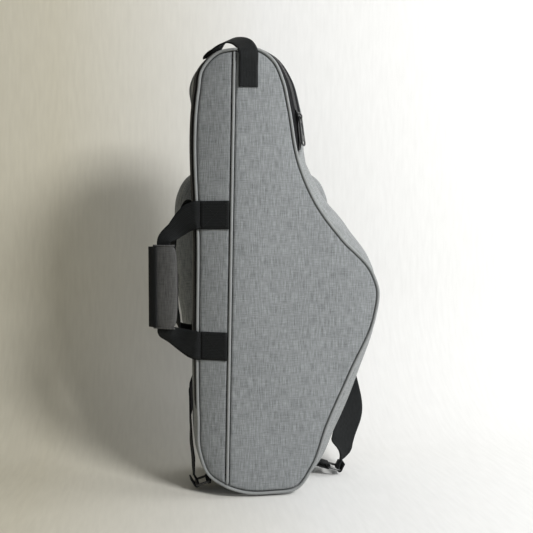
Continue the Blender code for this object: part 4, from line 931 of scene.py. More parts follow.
    @classmethod
    def tube(cls, name: str, path: np.ndarray, radius: float, closed: bool = False,
             sides: int = 14) -> bpy.types.Object:
        """A cord: circles of one radius round a path, each square to it.

        The circle's first direction is the part of one fixed lead that is square to the path, and the
        second is the path's cross product with it. Open ends are drawn together to a point.

        Args:
            name: the piece's name.
            path: rows of points.
            radius: the cord's radius.
            closed: whether the last point joins the first.
            sides: points round each circle.

        Returns:
            The solid cord.
        """
        if closed:
            along = unit(np.roll(path, -1, axis=0) - np.roll(path, 1, axis=0))
        else:
            along = unit(np.gradient(path, axis=0))
        first = unit(cls.tube_lead - along * (along @ cls.tube_lead)[:, None])
        second = np.cross(along, first)
        turns = np.arange(sides) * 2 * math.pi / sides
        ring = first[:, None] * np.cos(turns)[None, :, None] + second[:, None] * np.sin(turns)[None, :, None]
        size = np.full(len(path), radius)
        spots = path
        if not closed:
            size = np.concatenate([[0, radius * 0.8], size[1:-1], [radius * 0.8, 0]])
            ends = [path[:1], path[:1] + along[:1] * radius * 0.1, path[1:-1],
                    path[-1:] - along[-1:] * radius * 0.1, path[-1:]]
            spots = np.vstack(ends)
            ring = np.concatenate([ring[:1], ring, ring[-1:]])
        points = spots[:, None] + ring * size[:, None, None]
        run = arc_length(np.vstack([spots, spots[:1]]) if closed else spots)
        girth = np.linspace(0, 2 * math.pi * radius, sides + 1)
        return cls.closed(cls.grid(name, points, spread(girth, run), wrap_rows=closed, wrap_columns=True))

    @classmethod
    def ribbon(cls, name: str, centres: np.ndarray, across: np.ndarray, width: np.ndarray,
               columns: int = 9) -> bpy.types.Object:
        """A strip of webbing: a straight line swept along a path.

        Args:
            name: the piece's name.
            centres: the middle of the strip along its path.
            across: the way its width lies at each point.
            width: its width at each point, or one for all.
            columns: points across.

        Returns:
            The solid strip.
        """
        along = unit(np.gradient(centres, axis=0))
        side = unit(across - along * np.sum(across * along, axis=1)[:, None])
        wide = np.broadcast_to(width, len(centres))
        t = np.linspace(-1, 1, columns)
        points = centres[:, None] + side[:, None] * (t[None, :, None] * wide[:, None, None] / 2)
        run = arc_length(centres)
        cut = np.stack(np.broadcast_arrays(t[None, :] * wide[:, None] / 2, run[:, None]), axis=-1)
        return cls.thicken(cls.grid(name, points, cut), Sizes.web, 0.0)

    @classmethod
    def stitches(cls, name: str, lines: Sequence[np.ndarray], out: np.ndarray, pitch: float = 0.003,
                 length: float = 0.0022, radius: float = 0.00028) -> bpy.types.Object:
        """Rows of stitches: small spindles, each a circle whose radius is a half sine along its length.

        Args:
            name: the piece's name.
            lines: the seams, each as rows of points.
            out: the way out of the cloth.
            pitch, length, radius: spacing and size of a stitch.

        Returns:
            One object with every stitch.
        """
        pieces = []
        for line in lines:
            run = arc_length(line)
            count = max(int(run[-1] / pitch), 1)
            spots = (np.arange(count) + 0.5) / count
            low = by_length(line, spots - length / 2 / run[-1])
            high = by_length(line, spots + length / 2 / run[-1])
            pieces.append(np.stack([low, high], axis=1))
        ends = np.concatenate(pieces)
        along = unit(ends[:, 1] - ends[:, 0])
        first = np.broadcast_to(unit(out), along.shape)
        second = np.cross(along, first)
        t = np.linspace(0, 1, 5)
        turns = np.arange(6) * math.pi / 3
        size = radius * np.sin(math.pi * np.clip(t, 0.06, 0.94))
        spine = ends[:, None, 0] * (1 - t)[None, :, None] + ends[:, None, 1] * t[None, :, None]
        ring = first[:, None] * np.cos(turns)[None, :, None] + second[:, None] * np.sin(turns)[None, :, None]
        points = spine[:, :, None] + ring[:, None] * size[None, :, None, None]
        count, levels, sides = points.shape[:3]
        step = np.arange(levels - 1)[:, None] * sides + np.arange(sides)
        after = np.arange(levels - 1)[:, None] * sides + (np.arange(sides) + 1) % sides
        quads = np.stack([step, after, after + sides, step + sides], axis=-1).reshape(-1, 4)
        shift = (np.arange(count) * levels * sides)[:, None, None]
        faces = (quads[None] + shift).reshape(-1, 4).tolist()
        low_cap = np.arange(sides)[::-1][None] + shift[:, 0]
        high_cap = np.arange(sides)[None] + (levels - 1) * sides + shift[:, 0]
        mesh = bpy.data.meshes.new(name)
        mesh.from_pydata((points.reshape(-1, 3) + ORIGIN).tolist(), [],
                         faces + low_cap.tolist() + high_cap.tolist())
        piece = bpy.data.objects.new(name, mesh)
        bpy.context.scene.collection.objects.link(piece)
        return cls.closed(piece)

    @classmethod
    def remeshed(cls, name: str, node: str, voxel: float, rounds: int) -> bpy.types.Object:
        """A soft copy of a CAD solid: remeshed in small voxels, then each point eased to its neighbours.

        Args:
            name: the piece's name.
            node: the solid's name.
            voxel: the size of a voxel.
            rounds: how often the points are eased.

        Returns:
            The copy.
        """
        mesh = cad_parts[node].data.copy()
        mesh.materials.clear()
        piece = bpy.data.objects.new(name, mesh)
        bpy.context.scene.collection.objects.link(piece)
        cls.closed(piece)
        remesh = piece.modifiers.new("remesh", "REMESH")
        remesh.mode = "VOXEL"
        remesh.voxel_size = voxel
        ease = piece.modifiers.new("ease", "SMOOTH")
        ease.factor = 0.5
        ease.iterations = rounds
        cls.applied(piece)
        piece.data.shade_smooth()
        return piece


def coat(piece: bpy.types.Object, finish: Finish) -> None:
    """Give a piece one finish in place of all it had."""
    piece.data.materials.clear()
    piece.data.materials.append(finish.material())


def dress(piece: bpy.types.Object, finish: Finish, body: str, *nodes: str,
          padded: Optional[float] = None) -> None:
    """Give a piece its finish, the body that it rides on, and the CAD nodes that it stands for.

    Args:
        piece: the piece.
        finish: its finish.
        body: the body that it rides on.
        nodes: the CAD nodes that it stands for.
        padded: how full of padding it is, from 0 to 1, where it is padded; not used.
    """
    coat(piece, finish)
    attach(piece, body)
    finish_off(piece, nodes)


def bend(piece: bpy.types.Object, finish: Finish, *nodes: str, padded: Optional[float] = None,
         reach: float = 0.009) -> None:
    """Coat a piece, bake its transform into its mesh and hide the CAD nodes that it stands for, for cloth
    that crosses the fold line between the fixed front and the flap.

    Args:
        piece: the piece.
        finish: its finish.
        nodes: the CAD nodes that it stands for.
        padded: how full of padding it is, from 0 to 1, where it is padded; not used.
        reach: how far from the fold the cloth would give way; not used.
    """
    coat(piece, finish)
    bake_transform(piece)
    finish_off(piece, nodes)


def finish_off(piece: bpy.types.Object, nodes: Sequence[str]) -> None:
    """Hide the CAD nodes that a piece replaces and log its face count.

    Args:
        piece: the piece.
        nodes: the CAD nodes that it stands for.
    """
    if nodes:
        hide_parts(*nodes)
    LOG.info("%s: %d faces", piece.name, len(piece.data.polygons))


def sewn_box(name: str, corner: np.ndarray, wide: np.ndarray, tall: np.ndarray, out: np.ndarray,
             body: str, crossed: bool = True) -> None:
    """Stitches round a rectangle, and across its two diagonals where it is a crossed box.

    Args:
        name: the piece's name.
        corner: the rectangle's first corner.
        wide, tall: its two sides.
        out: the way out of the cloth.
        body: the body that it rides on.
        crossed: whether its diagonals are sewn too.
    """
    spots = [corner, corner + wide, corner + wide + tall, corner + tall]
    lines = [np.vstack([spots[k], spots[(k + 1) % 4]]) for k in range(4)]
    if crossed:
        lines += [np.vstack([spots[0], spots[2]]), np.vstack([spots[1], spots[3]])]
    dress(Surfaces.stitches(name, lines, out), THREAD, body)


@dataclass
class FrontPanels:
    """The padded front: the main panel, the spine panel turned back beside it, piping and lining."""

    columns: int = 72
    rows: int = 132
    spine_columns: int = 26
    crowd: float = 0.55
    crown: float = 0.0008
    crown_reach: float = 0.012
    piping: float = 0.0020
    spine_corners: tuple[float, float] = (23.0, 17.35)
    main_corners: tuple[float, float] = (28.55, 38.72)
    held: float = 0.0035
    spine_puff: float = 0.0016
    main_puff: float = 0.0022
    lining_inset: float = 0.008
    nap: float = 0.0002

    def half(self, spine: bool, inset: float) -> tuple[np.ndarray, np.ndarray]:
        """The flat grid of one panel, a Coons patch between the crease and the outline.

        Args:
            spine: whether it is the spine panel or the main one.
            inset: how far it is drawn in from its seams.

        Returns:
            Points by [up, across], and the grid's closed edge.
        """
        top, foot = Shape.crease_stations(-inset if spine else inset, inset)

        def run(first: float, last: float) -> np.ndarray:
            place, outward, _ = Shape.outline_at(np.linspace(first, last, 220))
            return place - outward * inset

        u = crowded(self.spine_columns if spine else self.columns)
        v = crowded(self.rows, self.crowd)
        if spine:
            low, high = self.spine_corners
            bottom, peak = run(low, foot), run(high, top)
            return framed(bottom, peak, run(low, high), np.vstack([bottom[-1], peak[-1]]), u, v)
        low, high = self.main_corners
        bottom, peak = run(foot, low), run(top + Shape.stations, high)
        return framed(bottom, peak, np.vstack([bottom[0], peak[0]]), run(low, high), u, v)

    def panel(self, spine: bool) -> bpy.types.Object:
        """One padded panel: its plane, less the roll of its edges, with a soft crown.

        Args:
            spine: whether it is the spine panel or the main one.

        Returns:
            The panel, filled and thick.
        """
        grid, edge = self.half(spine, Sizes.seam)
        away = edge_distance(grid, edge)
        depth = roll_in(away) - self.crown * (1 - np.exp(-away / self.crown_reach))
        if spine:
            depth = depth + (Shape.crease_x(grid[..., 1]) - grid[..., 0]) * math.tan(Sizes.turn)
        points = np.stack([grid[..., 0], depth, grid[..., 1]], axis=-1)
        piece = Surfaces.grid("spine_panel" if spine else "main_panel", points, grid)
        Surfaces.face_from(piece, (0.1, 0.4, 0.3))
        Surfaces.swell(piece, (away < self.held).ravel(), self.spine_puff if spine else self.main_puff)
        return Surfaces.thicken(piece, Sizes.pad - Sizes.slim)

    def build(self) -> None:
        """Make the front's pieces."""
        bend(self.panel(False), CANVAS, "flap_panel", "lower_panel", padded=0.7)
        bend(self.panel(True), CANVAS, "flap_spine_panel", "lower_spine_panel", padded=0.7)
        at = np.linspace(0, Shape.stations, 420, endpoint=False)
        place, _, _ = Shape.outline_at(at)
        depth = Shape.front_y(place[:, 0], place[:, 1]) + Sizes.welt_sink
        path = np.column_stack([place[:, 0], depth, place[:, 1]])
        piece = Surfaces.tube("front_piping", path, self.piping, closed=True)
        bend(piece, PIPING, "flap_welt", "lower_welt")
        top, foot = Shape.crease_stations(0.0, 2 * Sizes.welt + GAP)
        ends, _, _ = Shape.outline_at(row(foot, top))
        heights = np.linspace(ends[0, 1] + 1.4 * Sizes.welt, ends[1, 1] - 1.4 * Sizes.welt, 150)
        path = np.column_stack([Shape.crease_x(heights), np.full(150, Sizes.welt_sink), heights])
        piece = Surfaces.tube("crease_piping", path, self.piping)
        bend(piece, PIPING, "flap_crease_welt", "lower_crease_welt")
        grid, _ = self.half(False, Sizes.seam + self.lining_inset + Sizes.lining)
        nap = self.nap * np.sin(grid[..., 0] * 900) * np.sin(grid[..., 1] * 700)
        points = np.stack([grid[..., 0], Sizes.pad + GAP + Sizes.lining + nap, grid[..., 1]], axis=-1)
        piece = Surfaces.grid("front_lining", points, grid)
        Surfaces.face_from(piece, (0.1, -0.4, 0.3))
        bend(Surfaces.thicken(piece, Sizes.lining), PLUSH, "flap_lining", "lower_lining")


@dataclass
class Body:
    """The padded side wall, the back panel, their piping and the lining."""

    around: int = 430
    levels: int = 30
    back_columns: int = 64
    back_rows: int = 126
    waves: float = 0.0004
    puff: float = 0.0016
    back_corners: tuple[float, float, float, float] = (23.2, 28.6, 38.7, 42.4)

    def wall(self, name: str, inset: float, start: float, stop: float, rolled: bool) -> bpy.types.Object:
        """A closed band of the wall: stations round the outline by distance behind the front seam.

        The surface is the skin, drawn in by the roll of its two edges and by long shallow waves,
        a product of a sine round the case and half a sine across the wall.

        Args:
            name: the piece's name.
            inset: how far it is drawn in.
            start, stop: how far it keeps from the wall's front edge and from the back.
            rolled: whether its edges are rolled and its face is wavy.

        Returns:
            The open surface, facing outwards.
        """
        at = np.linspace(0, Shape.stations, self.around, endpoint=False)
        first = Shape.wall_edge(at) + start
        last = Shape.back_behind(at, Sizes.depth - stop)
        rings = []
        for share in crowded(self.levels, 0.75):
            behind = first + (last - first) * share
            draw = np.full(len(at), inset)
            if rolled:
                draw = draw + roll_in(np.minimum(behind - first, last - behind))
                draw = draw + self.waves * np.sin(at * 5.1 + 3 * share) * math.sin(math.pi * share)
            rings.append(Shape.skin(at, behind, draw))
        points = np.stack(rings)
        middle = points[self.levels // 2]
        run = arc_length(np.concatenate([middle, middle[:1]]))
        piece = Surfaces.grid(name, points, spread(run, arc_length(points[:, 40])), wrap_columns=True)
        Surfaces.face_from(piece, (0.1, 0.08, 0.3))
        return piece

    def build(self) -> None:
        """Make the body's pieces."""
        wall = self.wall("padded_wall", 0.0, 0.0, Sizes.edge, True)
        level = np.repeat(np.arange(self.levels), self.around)
        Surfaces.swell(wall, (level < 3) | (level > self.levels - 4), self.puff, 3.0)
        dress(Surfaces.thicken(wall, Sizes.wall - Sizes.slim), CANVAS_WALL, "base", "side_wall", padded=0.6)
        lining = self.wall("wall_lining", Sizes.wall + GAP + Sizes.lining, Sizes.wall + GAP,
                           Sizes.wall + Sizes.pad, False)
        lining.data.flip_normals()
        dress(Surfaces.thicken(lining, Sizes.lining), PLUSH, "base", "body_lining")

        def run(first: float, last: float) -> np.ndarray:
            at = np.linspace(first, last, 220)
            spots = Shape.skin(at, Shape.back_behind(at, Sizes.depth), Sizes.seam)
            spots[:, 2] = np.maximum(spots[:, 2], 2 * Sizes.welt + GAP - Sizes.raise_up)
            return spots[:, [0, 2]]

        low_left, low_right, high_right, high_left = self.back_corners
        grid, edge = framed(run(low_left, low_right), run(high_left, high_right),
                            run(low_left + Shape.stations, high_left), run(low_right, high_right),
                            crowded(self.back_columns), crowded(self.back_rows, 0.55))
        points = np.stack(
            [grid[..., 0], Sizes.depth - roll_in(edge_distance(grid, edge)), grid[..., 1]], axis=-1)
        piece = Surfaces.grid("padded_back", points, grid)
        Surfaces.face_from(piece, (0.1, 0.0, 0.3))
        dress(Surfaces.thicken(piece, Sizes.pad - Sizes.slim), CANVAS, "base", "back_panel", padded=0.5)
        at = np.linspace(0, Shape.stations, 400, endpoint=False)
        path = Shape.skin(at, Shape.back_behind(at, Sizes.depth - Sizes.welt_sink))
        path[:, 2] = np.maximum(path[:, 2], Sizes.welt - Sizes.raise_up + GAP)
        dress(Surfaces.tube("back_piping", path, Sizes.welt, closed=True), PIPING, "base", "back_welt")


@dataclass
class MainZip:
    """The main zip's tapes and coils, in the band behind the front piping."""

    flap_start: float = 11.92
    pitch: float = 0.0021
    tape_sink: float = 0.0004
    tape_width: float = 0.008
    tooth: float = 0.0009
    coil_sink: float = 0.0015
    coil_thickness: float = 0.0014
    columns: int = 7
    inside: tuple[float, float, float] = (0.06, 0.08, 0.3)

    def strip(self, shares: tuple[float, float], rise: float, start: float, count: int,
              columns: int) -> tuple[np.ndarray, np.ndarray]:
        """Points of a strip of the band, between two shares of its width.

        Args:
            shares: where its two edges lie across the band.
            rise: how far it stands out of the skin.
            start: the station where it starts.
            count, columns: points along and across.

        Returns:
            Points by [along, across], and the running length.
        """
        at = np.linspace(start, Sizes.zip_left, count)
        low = Sizes.edge + GAP
        high = Shape.wall_edge(at) - GAP
        spots = [low + (high - low) * share for share in np.linspace(*shares, columns)]
        points = np.stack([Shape.skin(at, spot, -rise) for spot in spots], axis=1)
        return points, arc_length(points[:, columns // 2])

    def tape(self, shares: tuple[float, float], body: str) -> None:
        """A woven tape, sunk a little below the skin.

        Args:
            shares: where its two edges lie across the band.
            body: the body that it rides on.
        """
        points, run = self.strip(shares, -self.tape_sink, Sizes.zip_right, 260, self.columns)
        across = np.linspace(0, self.tape_width, self.columns)
        piece = Surfaces.grid(f"{body}_zip_cloth", points, spread(across, run))
        Surfaces.face_from(piece, self.inside)
        dress(Surfaces.thicken(piece, Sizes.slim), TAPE, body, f"{body}_zip_tape")

    def coil(self, shares: tuple[float, float], start: float, body: str, phase: float) -> None:
        """A row of coil teeth: a half round ridge whose height beats once for each tooth.

        Args:
            shares: where its two edges lie across the band.
            start: the station where it starts.
            body: the body that it rides on.
            phase: the angle at which its beat starts.
        """
        length = self.strip(shares, 0.0, start, 200, 3)[1][-1]
        count = int(length / self.pitch) * 6
        points, run = self.strip(shares, 0.0, start, count, self.columns)
        base, _ = self.strip(shares, -self.coil_sink, start, count, self.columns)
        across = np.linspace(-1, 1, self.columns)
        beat = 0.5 + 0.5 * np.sin(run / self.pitch * 2 * math.pi + phase)
        tall = (0.35 + 0.65 * beat[:, None]) * np.sqrt(np.clip(1 - 0.9 * across[None] ** 2, 0, 1))
        points = points + unit(points - base) * (self.tooth * tall)[..., None]
        piece = Surfaces.grid(f"{body}_coil_teeth", points, spread(across * Sizes.slim, run))
        Surfaces.face_from(piece, self.inside)
        dress(Surfaces.thicken(piece, self.coil_thickness), COIL, body, f"{body}_zip_coil")

    def build(self) -> None:
        """Make the zip's tapes and coils."""
        self.tape((0.0, 0.372), "flap")
        self.tape((0.628, 1.0), "base")
        self.coil((0.375, 0.492), self.flap_start, "flap", 0.0)
        self.coil((0.508, 0.625), Sizes.zip_right, "base", math.pi)


@dataclass
class CarryHandle:
    """The carrying handle: patches, two loops of webbing and the padded grip."""

    top: float = 0.632 * Sizes.height
    foot: float = 0.337 * Sizes.height
    inset: float = 0.0044
    grip_length: float = 0.110
    grip_width: float = 0.044
    grip_thickness: float = 0.014
    grip_reach: float = 0.045
    grip_depth: float = 0.032
    grip_drop: float = 0.009
    grip_turn: float = math.radians(-32.0)
    grip_web: float = 0.020
    back_reach: float = 0.038
    back_depth: float = 0.060
    back_web: float = 0.028
    patch_depth: float = 0.100
    patch_length: float = 0.034
    wall_stations: tuple[float, float] = (18.6, 21.4)
    box_tall: float = 0.032
    box_inset: float = 0.003
    grip_puff: float = 0.0006
    grip_cloth: float = 0.0022
    grip_girth: float = 0.098
    grip_sides: int = 64
    edging_turn: float = math.radians(72.0)

    def front(self) -> None:
        """The near loop, sewn to the spine panel and swung from the panel's edge."""
        rise = Sizes.web / 2 + GAP
        up = row(0, 0, 1)
        for name, z in (("upper", self.top), ("lower", self.foot)):
            inner = Shape.crease_x(z - Sizes.wide / 2) - Sizes.welt - 2 * GAP
            places = np.array([Shape.spine_point(x, z, rise) for x in np.linspace(inner, self.inset, 14)])
            piece = Surfaces.ribbon(f"near_{name}_patch", places, np.tile(up, (14, 1)), Sizes.wide)
            dress(piece, WEBBING, "flap", f"front_handle_{name}_patch")
            out = -row(math.sin(Sizes.turn), math.cos(Sizes.turn), 0)
            low, lift = z - self.box_tall / 2, Sizes.web + GAP + Sizes.thread_rise
            corner = Shape.spine_point(inner - self.box_inset, low, lift)
            wide = Shape.spine_point(self.inset + 0.004, low, lift) - corner
            sewn_box(f"near_{name}_stitches", corner, wide, up * self.box_tall, out, "flap")
        lean = row(math.cos(self.grip_turn), math.sin(self.grip_turn), 0.0)
        middle = row(-self.grip_reach, self.grip_depth, (self.top + self.foot) / 2 - self.grip_drop)
        grip_top = middle + up * self.grip_length / 2
        grip_foot = middle - up * self.grip_length / 2
        start = self.inset - 2 * GAP
        over = rise + Sizes.welt
        out = -3 * Sizes.welt
        neck = up * self.grip_thickness / 2
        places = [
            Shape.spine_point(start, self.top, rise),
            Shape.spine_point(0.0, self.top, over),
            Shape.spine_point(out, self.top - Sizes.welt, over),
            grip_top + [self.grip_reach * 0.34, 0, (self.top - grip_top[2]) * 0.52],
            grip_top + neck,
            grip_top,
            grip_foot,
            grip_foot - neck,
            grip_foot + [self.grip_reach * 0.30, 0, (self.foot - grip_foot[2]) * 0.50],
            Shape.spine_point(out, self.foot + Sizes.welt, over),
            Shape.spine_point(0.0, self.foot, over),
            Shape.spine_point(start, self.foot, rise),
        ]
        over_turn, under_turn = (-0.6, 0.1, 0.75), (-0.6, 0.1, -0.75)
        across = [up, up, up, over_turn, -lean, -lean, -lean, -lean, under_turn, -up, -up, -up]
        mid = self.grip_web + (Sizes.wide - self.grip_web) * 0.25
        ends = [Sizes.wide] * 3
        width = [*ends, mid, *[self.grip_web] * 4, mid, *ends]
        self.loop("near_loop", places, across, width, "front_handle", "front_handle_webbing")
        self.grip(middle, lean)

    def loop(self, name: str, places: Sequence, across: Sequence, width: Sequence, body: str,
             node: str) -> None:
        """A loop of webbing.

        Args:
            name: the piece's name.
            places: points of its middle line.
            across, width: the way its width lies, and how wide it is, at each point.
            body: the body that it rides on.
            node: the CAD node that it stands for.
        """
        at = np.linspace(0, len(places) - 1, (len(places) - 1) * 10 + 1)
        centres = smooth(np.array(places), at)
        widths = np.interp(at, np.arange(len(places)), width)
        dress(Surfaces.ribbon(name, centres, eased(across, at), widths), WEBBING, body, node)

    def grip(self, middle: np.ndarray, lean: np.ndarray) -> None:
        """The padded grip: an oval tube whose radius grows from its ends as a root of a sine.

        The cloth is drawn in a little between its ends by the padding, and the black edging is a
        strip round its far side. Its mouth leaves the webbing's slot free.

        Args:
            middle: the grip's middle.
            lean: the way its width lies.
        """
        facing = row(-math.sin(self.grip_turn), math.cos(self.grip_turn), 0.0)
        turns = np.linspace(0, 2 * math.pi, self.grip_sides, endpoint=False)
        level = crowded(44, 0.9)
        full = np.clip(np.sin(math.pi * level), 0, 1) ** 0.10
        full[0] = full[-1] = 0.78
        wide = (self.grip_width / 2 - self.grip_puff) * full
        thick = (self.grip_thickness / 2 - self.grip_puff) * full
        wide = wide * (1 + 0.02 * np.cos(2 * math.pi * level))
        oval = lean[None, None] * (wide[:, None] * np.cos(turns))[..., None]
        oval = oval + facing[None, None] * (thick[:, None] * np.sin(turns))[..., None]
        height = (level - 0.5) * self.grip_length
        points = middle + oval + np.stack([0 * height, 0 * height, height], axis=-1)[:, None]
        cut = spread(np.linspace(0, self.grip_girth, self.grip_sides + 1), height)
        piece = Surfaces.grid("padded_grip", points, cut, wrap_columns=True)
        Surfaces.face_from(piece, middle)
        pinned = np.repeat((level < 0.02) | (level > 0.98), self.grip_sides)
        Surfaces.swell(piece, pinned, self.grip_puff, 2.0)
        piece = Surfaces.thicken(piece, self.grip_cloth)
        dress(piece, GRIP_CLOTH, "front_handle", "grip_wrap", padded=0.8)
        turns = math.pi + np.linspace(-1, 1, 20) * self.edging_turn
        level = np.linspace(-0.5, 0.5, 40)
        radius = row(self.grip_width / 2 + 2 * GAP, self.grip_thickness / 2 + 2 * GAP)
        flat = lean * (radius[0] * np.cos(turns))[:, None] + facing * (radius[1] * np.sin(turns))[:, None]
        height = level * (self.grip_length - self.grip_puff)
        points = middle + flat[None] + row(0, 0, 1) * height[:, None, None]
        piece = Surfaces.grid("grip_edge_band", points, spread(arc_length(flat), level * self.grip_length))
        Surfaces.face_from(piece, middle)
        dress(Surfaces.thicken(piece, Sizes.cloth, 1.0), WEBBING, "front_handle", "grip_edging")

    def back(self) -> None:
        """The far loop, sewn to the side wall."""
        rise = Sizes.web / 2 + 2 * GAP
        up = row(0, 0, 1)
        ends = []
        for name, z in (("upper", self.top), ("lower", self.foot)):
            at = np.linspace(*self.wall_stations, 200)
            place, _, _ = Shape.outline_at(at)
            station = np.full(12, np.interp(-z, -place[:, 1], at))
            ys = np.linspace(self.patch_depth + self.patch_length, self.patch_depth, 12)
            front = Shape.front_y(*[column[:1] for column in Shape.outline_at(station[:1])[0].T])
            spots = Shape.skin(station, ys - front, -rise)
            spots[:, 2] = z
            piece = Surfaces.ribbon(f"far_{name}_patch", spots, np.tile(up, (12, 1)), Sizes.wide)
            dress(piece, WEBBING, "base", f"back_handle_{name}_patch")
            out = row(-1, 0, 0)
            lift = out * (Sizes.web / 2 + Sizes.thread_rise)
            inset = row(0, self.box_inset, 0)
            corner = spots[0] + lift - inset - up * self.box_tall / 2
            wide = spots[-1] - spots[0] + 2 * inset
            sewn_box(f"far_{name}_stitches", corner, wide, up * self.box_tall, out, "base")
            ends.append(spots[-1])
        top, foot = ends
        step = row(0.0, 2 * GAP, 0.0)
        reach = self.back_reach + top[0]
        gap = self.patch_depth - self.back_depth
        drop = (top[2] - foot[2] - self.grip_length) / 2
        places = [
            top - step,
            top - 4 * step,
            top + [-reach * 0.16, -gap * 0.30, drop * 0.16],
            top + [-reach * 0.60, -gap * 0.80, -drop * 0.25],
            top + [-reach * 0.92, -gap, -drop * 1.2],
            (top + foot) / 2 + [-reach * 0.84, -gap, 0],
            foot + [-reach * 0.76, -gap, drop * 1.2],
            foot + [-reach * 0.50, -gap * 0.80, drop * 0.45],
            foot + [-reach * 0.12, -gap * 0.30, drop * 0.05],
            foot - 4 * step,
            foot - step,
        ]
        side = row(0.50, -0.85, 0.0)
        over_turn, under_turn = (0.1, -0.7, 0.7), (0.1, -0.7, -0.7)
        across = [up, up, up, over_turn, side, side, side, under_turn, -up, -up, -up]
        mid = (Sizes.wide + self.back_web) / 2
        ends = [Sizes.wide] * 3
        width = [*ends, mid, *[self.back_web] * 3, mid, *ends]
        self.loop("far_loop", places, across, width, "back_handle", "back_handle_webbing")

    def build(self) -> None:
        """Make both sides of the handle."""
        self.front()
        self.back()


@dataclass
class TopLoop:
    """The loop at the head, sewn to the front and held by a press stud on the wall."""

    centre: float = 0.270 * Sizes.width
    foot: float = 0.915 * Sizes.height
    rise: float = 0.022
    stud: float = 0.006
    stud_height: float = 0.0014
    stud_station: float = 16.9
    stud_share: float = 0.62
    seat_lift: float = 0.0008
    box_tall: float = 0.018
    box_inset: float = 0.003

    def build(self) -> None:
        """Make the loop and its stitches."""
        station = row(self.stud_station)
        place, normal, _ = Shape.outline_at(station)
        front = Shape.front_y(place[:, 0], place[:, 1])
        seat = Shape.skin(station, (Sizes.depth - front) * self.stud_share)[0]
        outward = row(normal[0, 0], 0.0, normal[0, 1])
        along = row(-normal[0, 1], 0.0, normal[0, 0])
        rise = Sizes.web / 2 + self.seat_lift + GAP
        end = seat + outward * (self.stud_height + 2 * GAP + Sizes.web / 2)
        x, head, back = self.centre, Sizes.height, seat[1]
        crest = head + self.rise
        lift = end[2] - crest
        right = row(1, 0, 0)
        places = [
            (x, -rise, self.foot),
            (x, -rise, self.foot + (head - self.foot) * 0.55),
            (x, -rise - Sizes.welt, head - 2.5 * Sizes.welt),
            (x - (x - end[0]) * 0.10, 0.10 * back, head + self.rise * 0.36),
            (x - (x - end[0]) * 0.46, 0.42 * back, crest - 0.002),
            (x - (x - end[0]) * 0.82, 0.72 * back, crest + lift * 0.40),
            tuple(end - row(0, self.stud * 0.6, 0)),
            tuple(end + row(0, self.stud * 1.4, 0)),
        ]
        far = -along if along[0] < 0 else along
        turning = [(0.98, 0.1, 0.1), (0.9, 0.2, 0.35), (0.75, 0.5, 0.43), (0.8, 0.3, 0.5)]
        across = [right, right, *turning, far, far]
        at = np.linspace(0, 7, 91)
        centres = smooth(np.array(places), at)
        piece = Surfaces.ribbon("head_loop", centres, eased(across, at), Sizes.narrow)
        dress(piece, WEBBING, "flap", "top_loop")
        half = Sizes.narrow / 2 - self.box_inset
        corner = row(x - half, -rise - Sizes.web / 2 - Sizes.thread_rise, self.foot + self.box_inset)
        sewn_box("head_loop_stitches", corner, row(2 * half, 0, 0), row(0, 0, self.box_tall),
                 row(0, -1, 0), "flap", crossed=False)


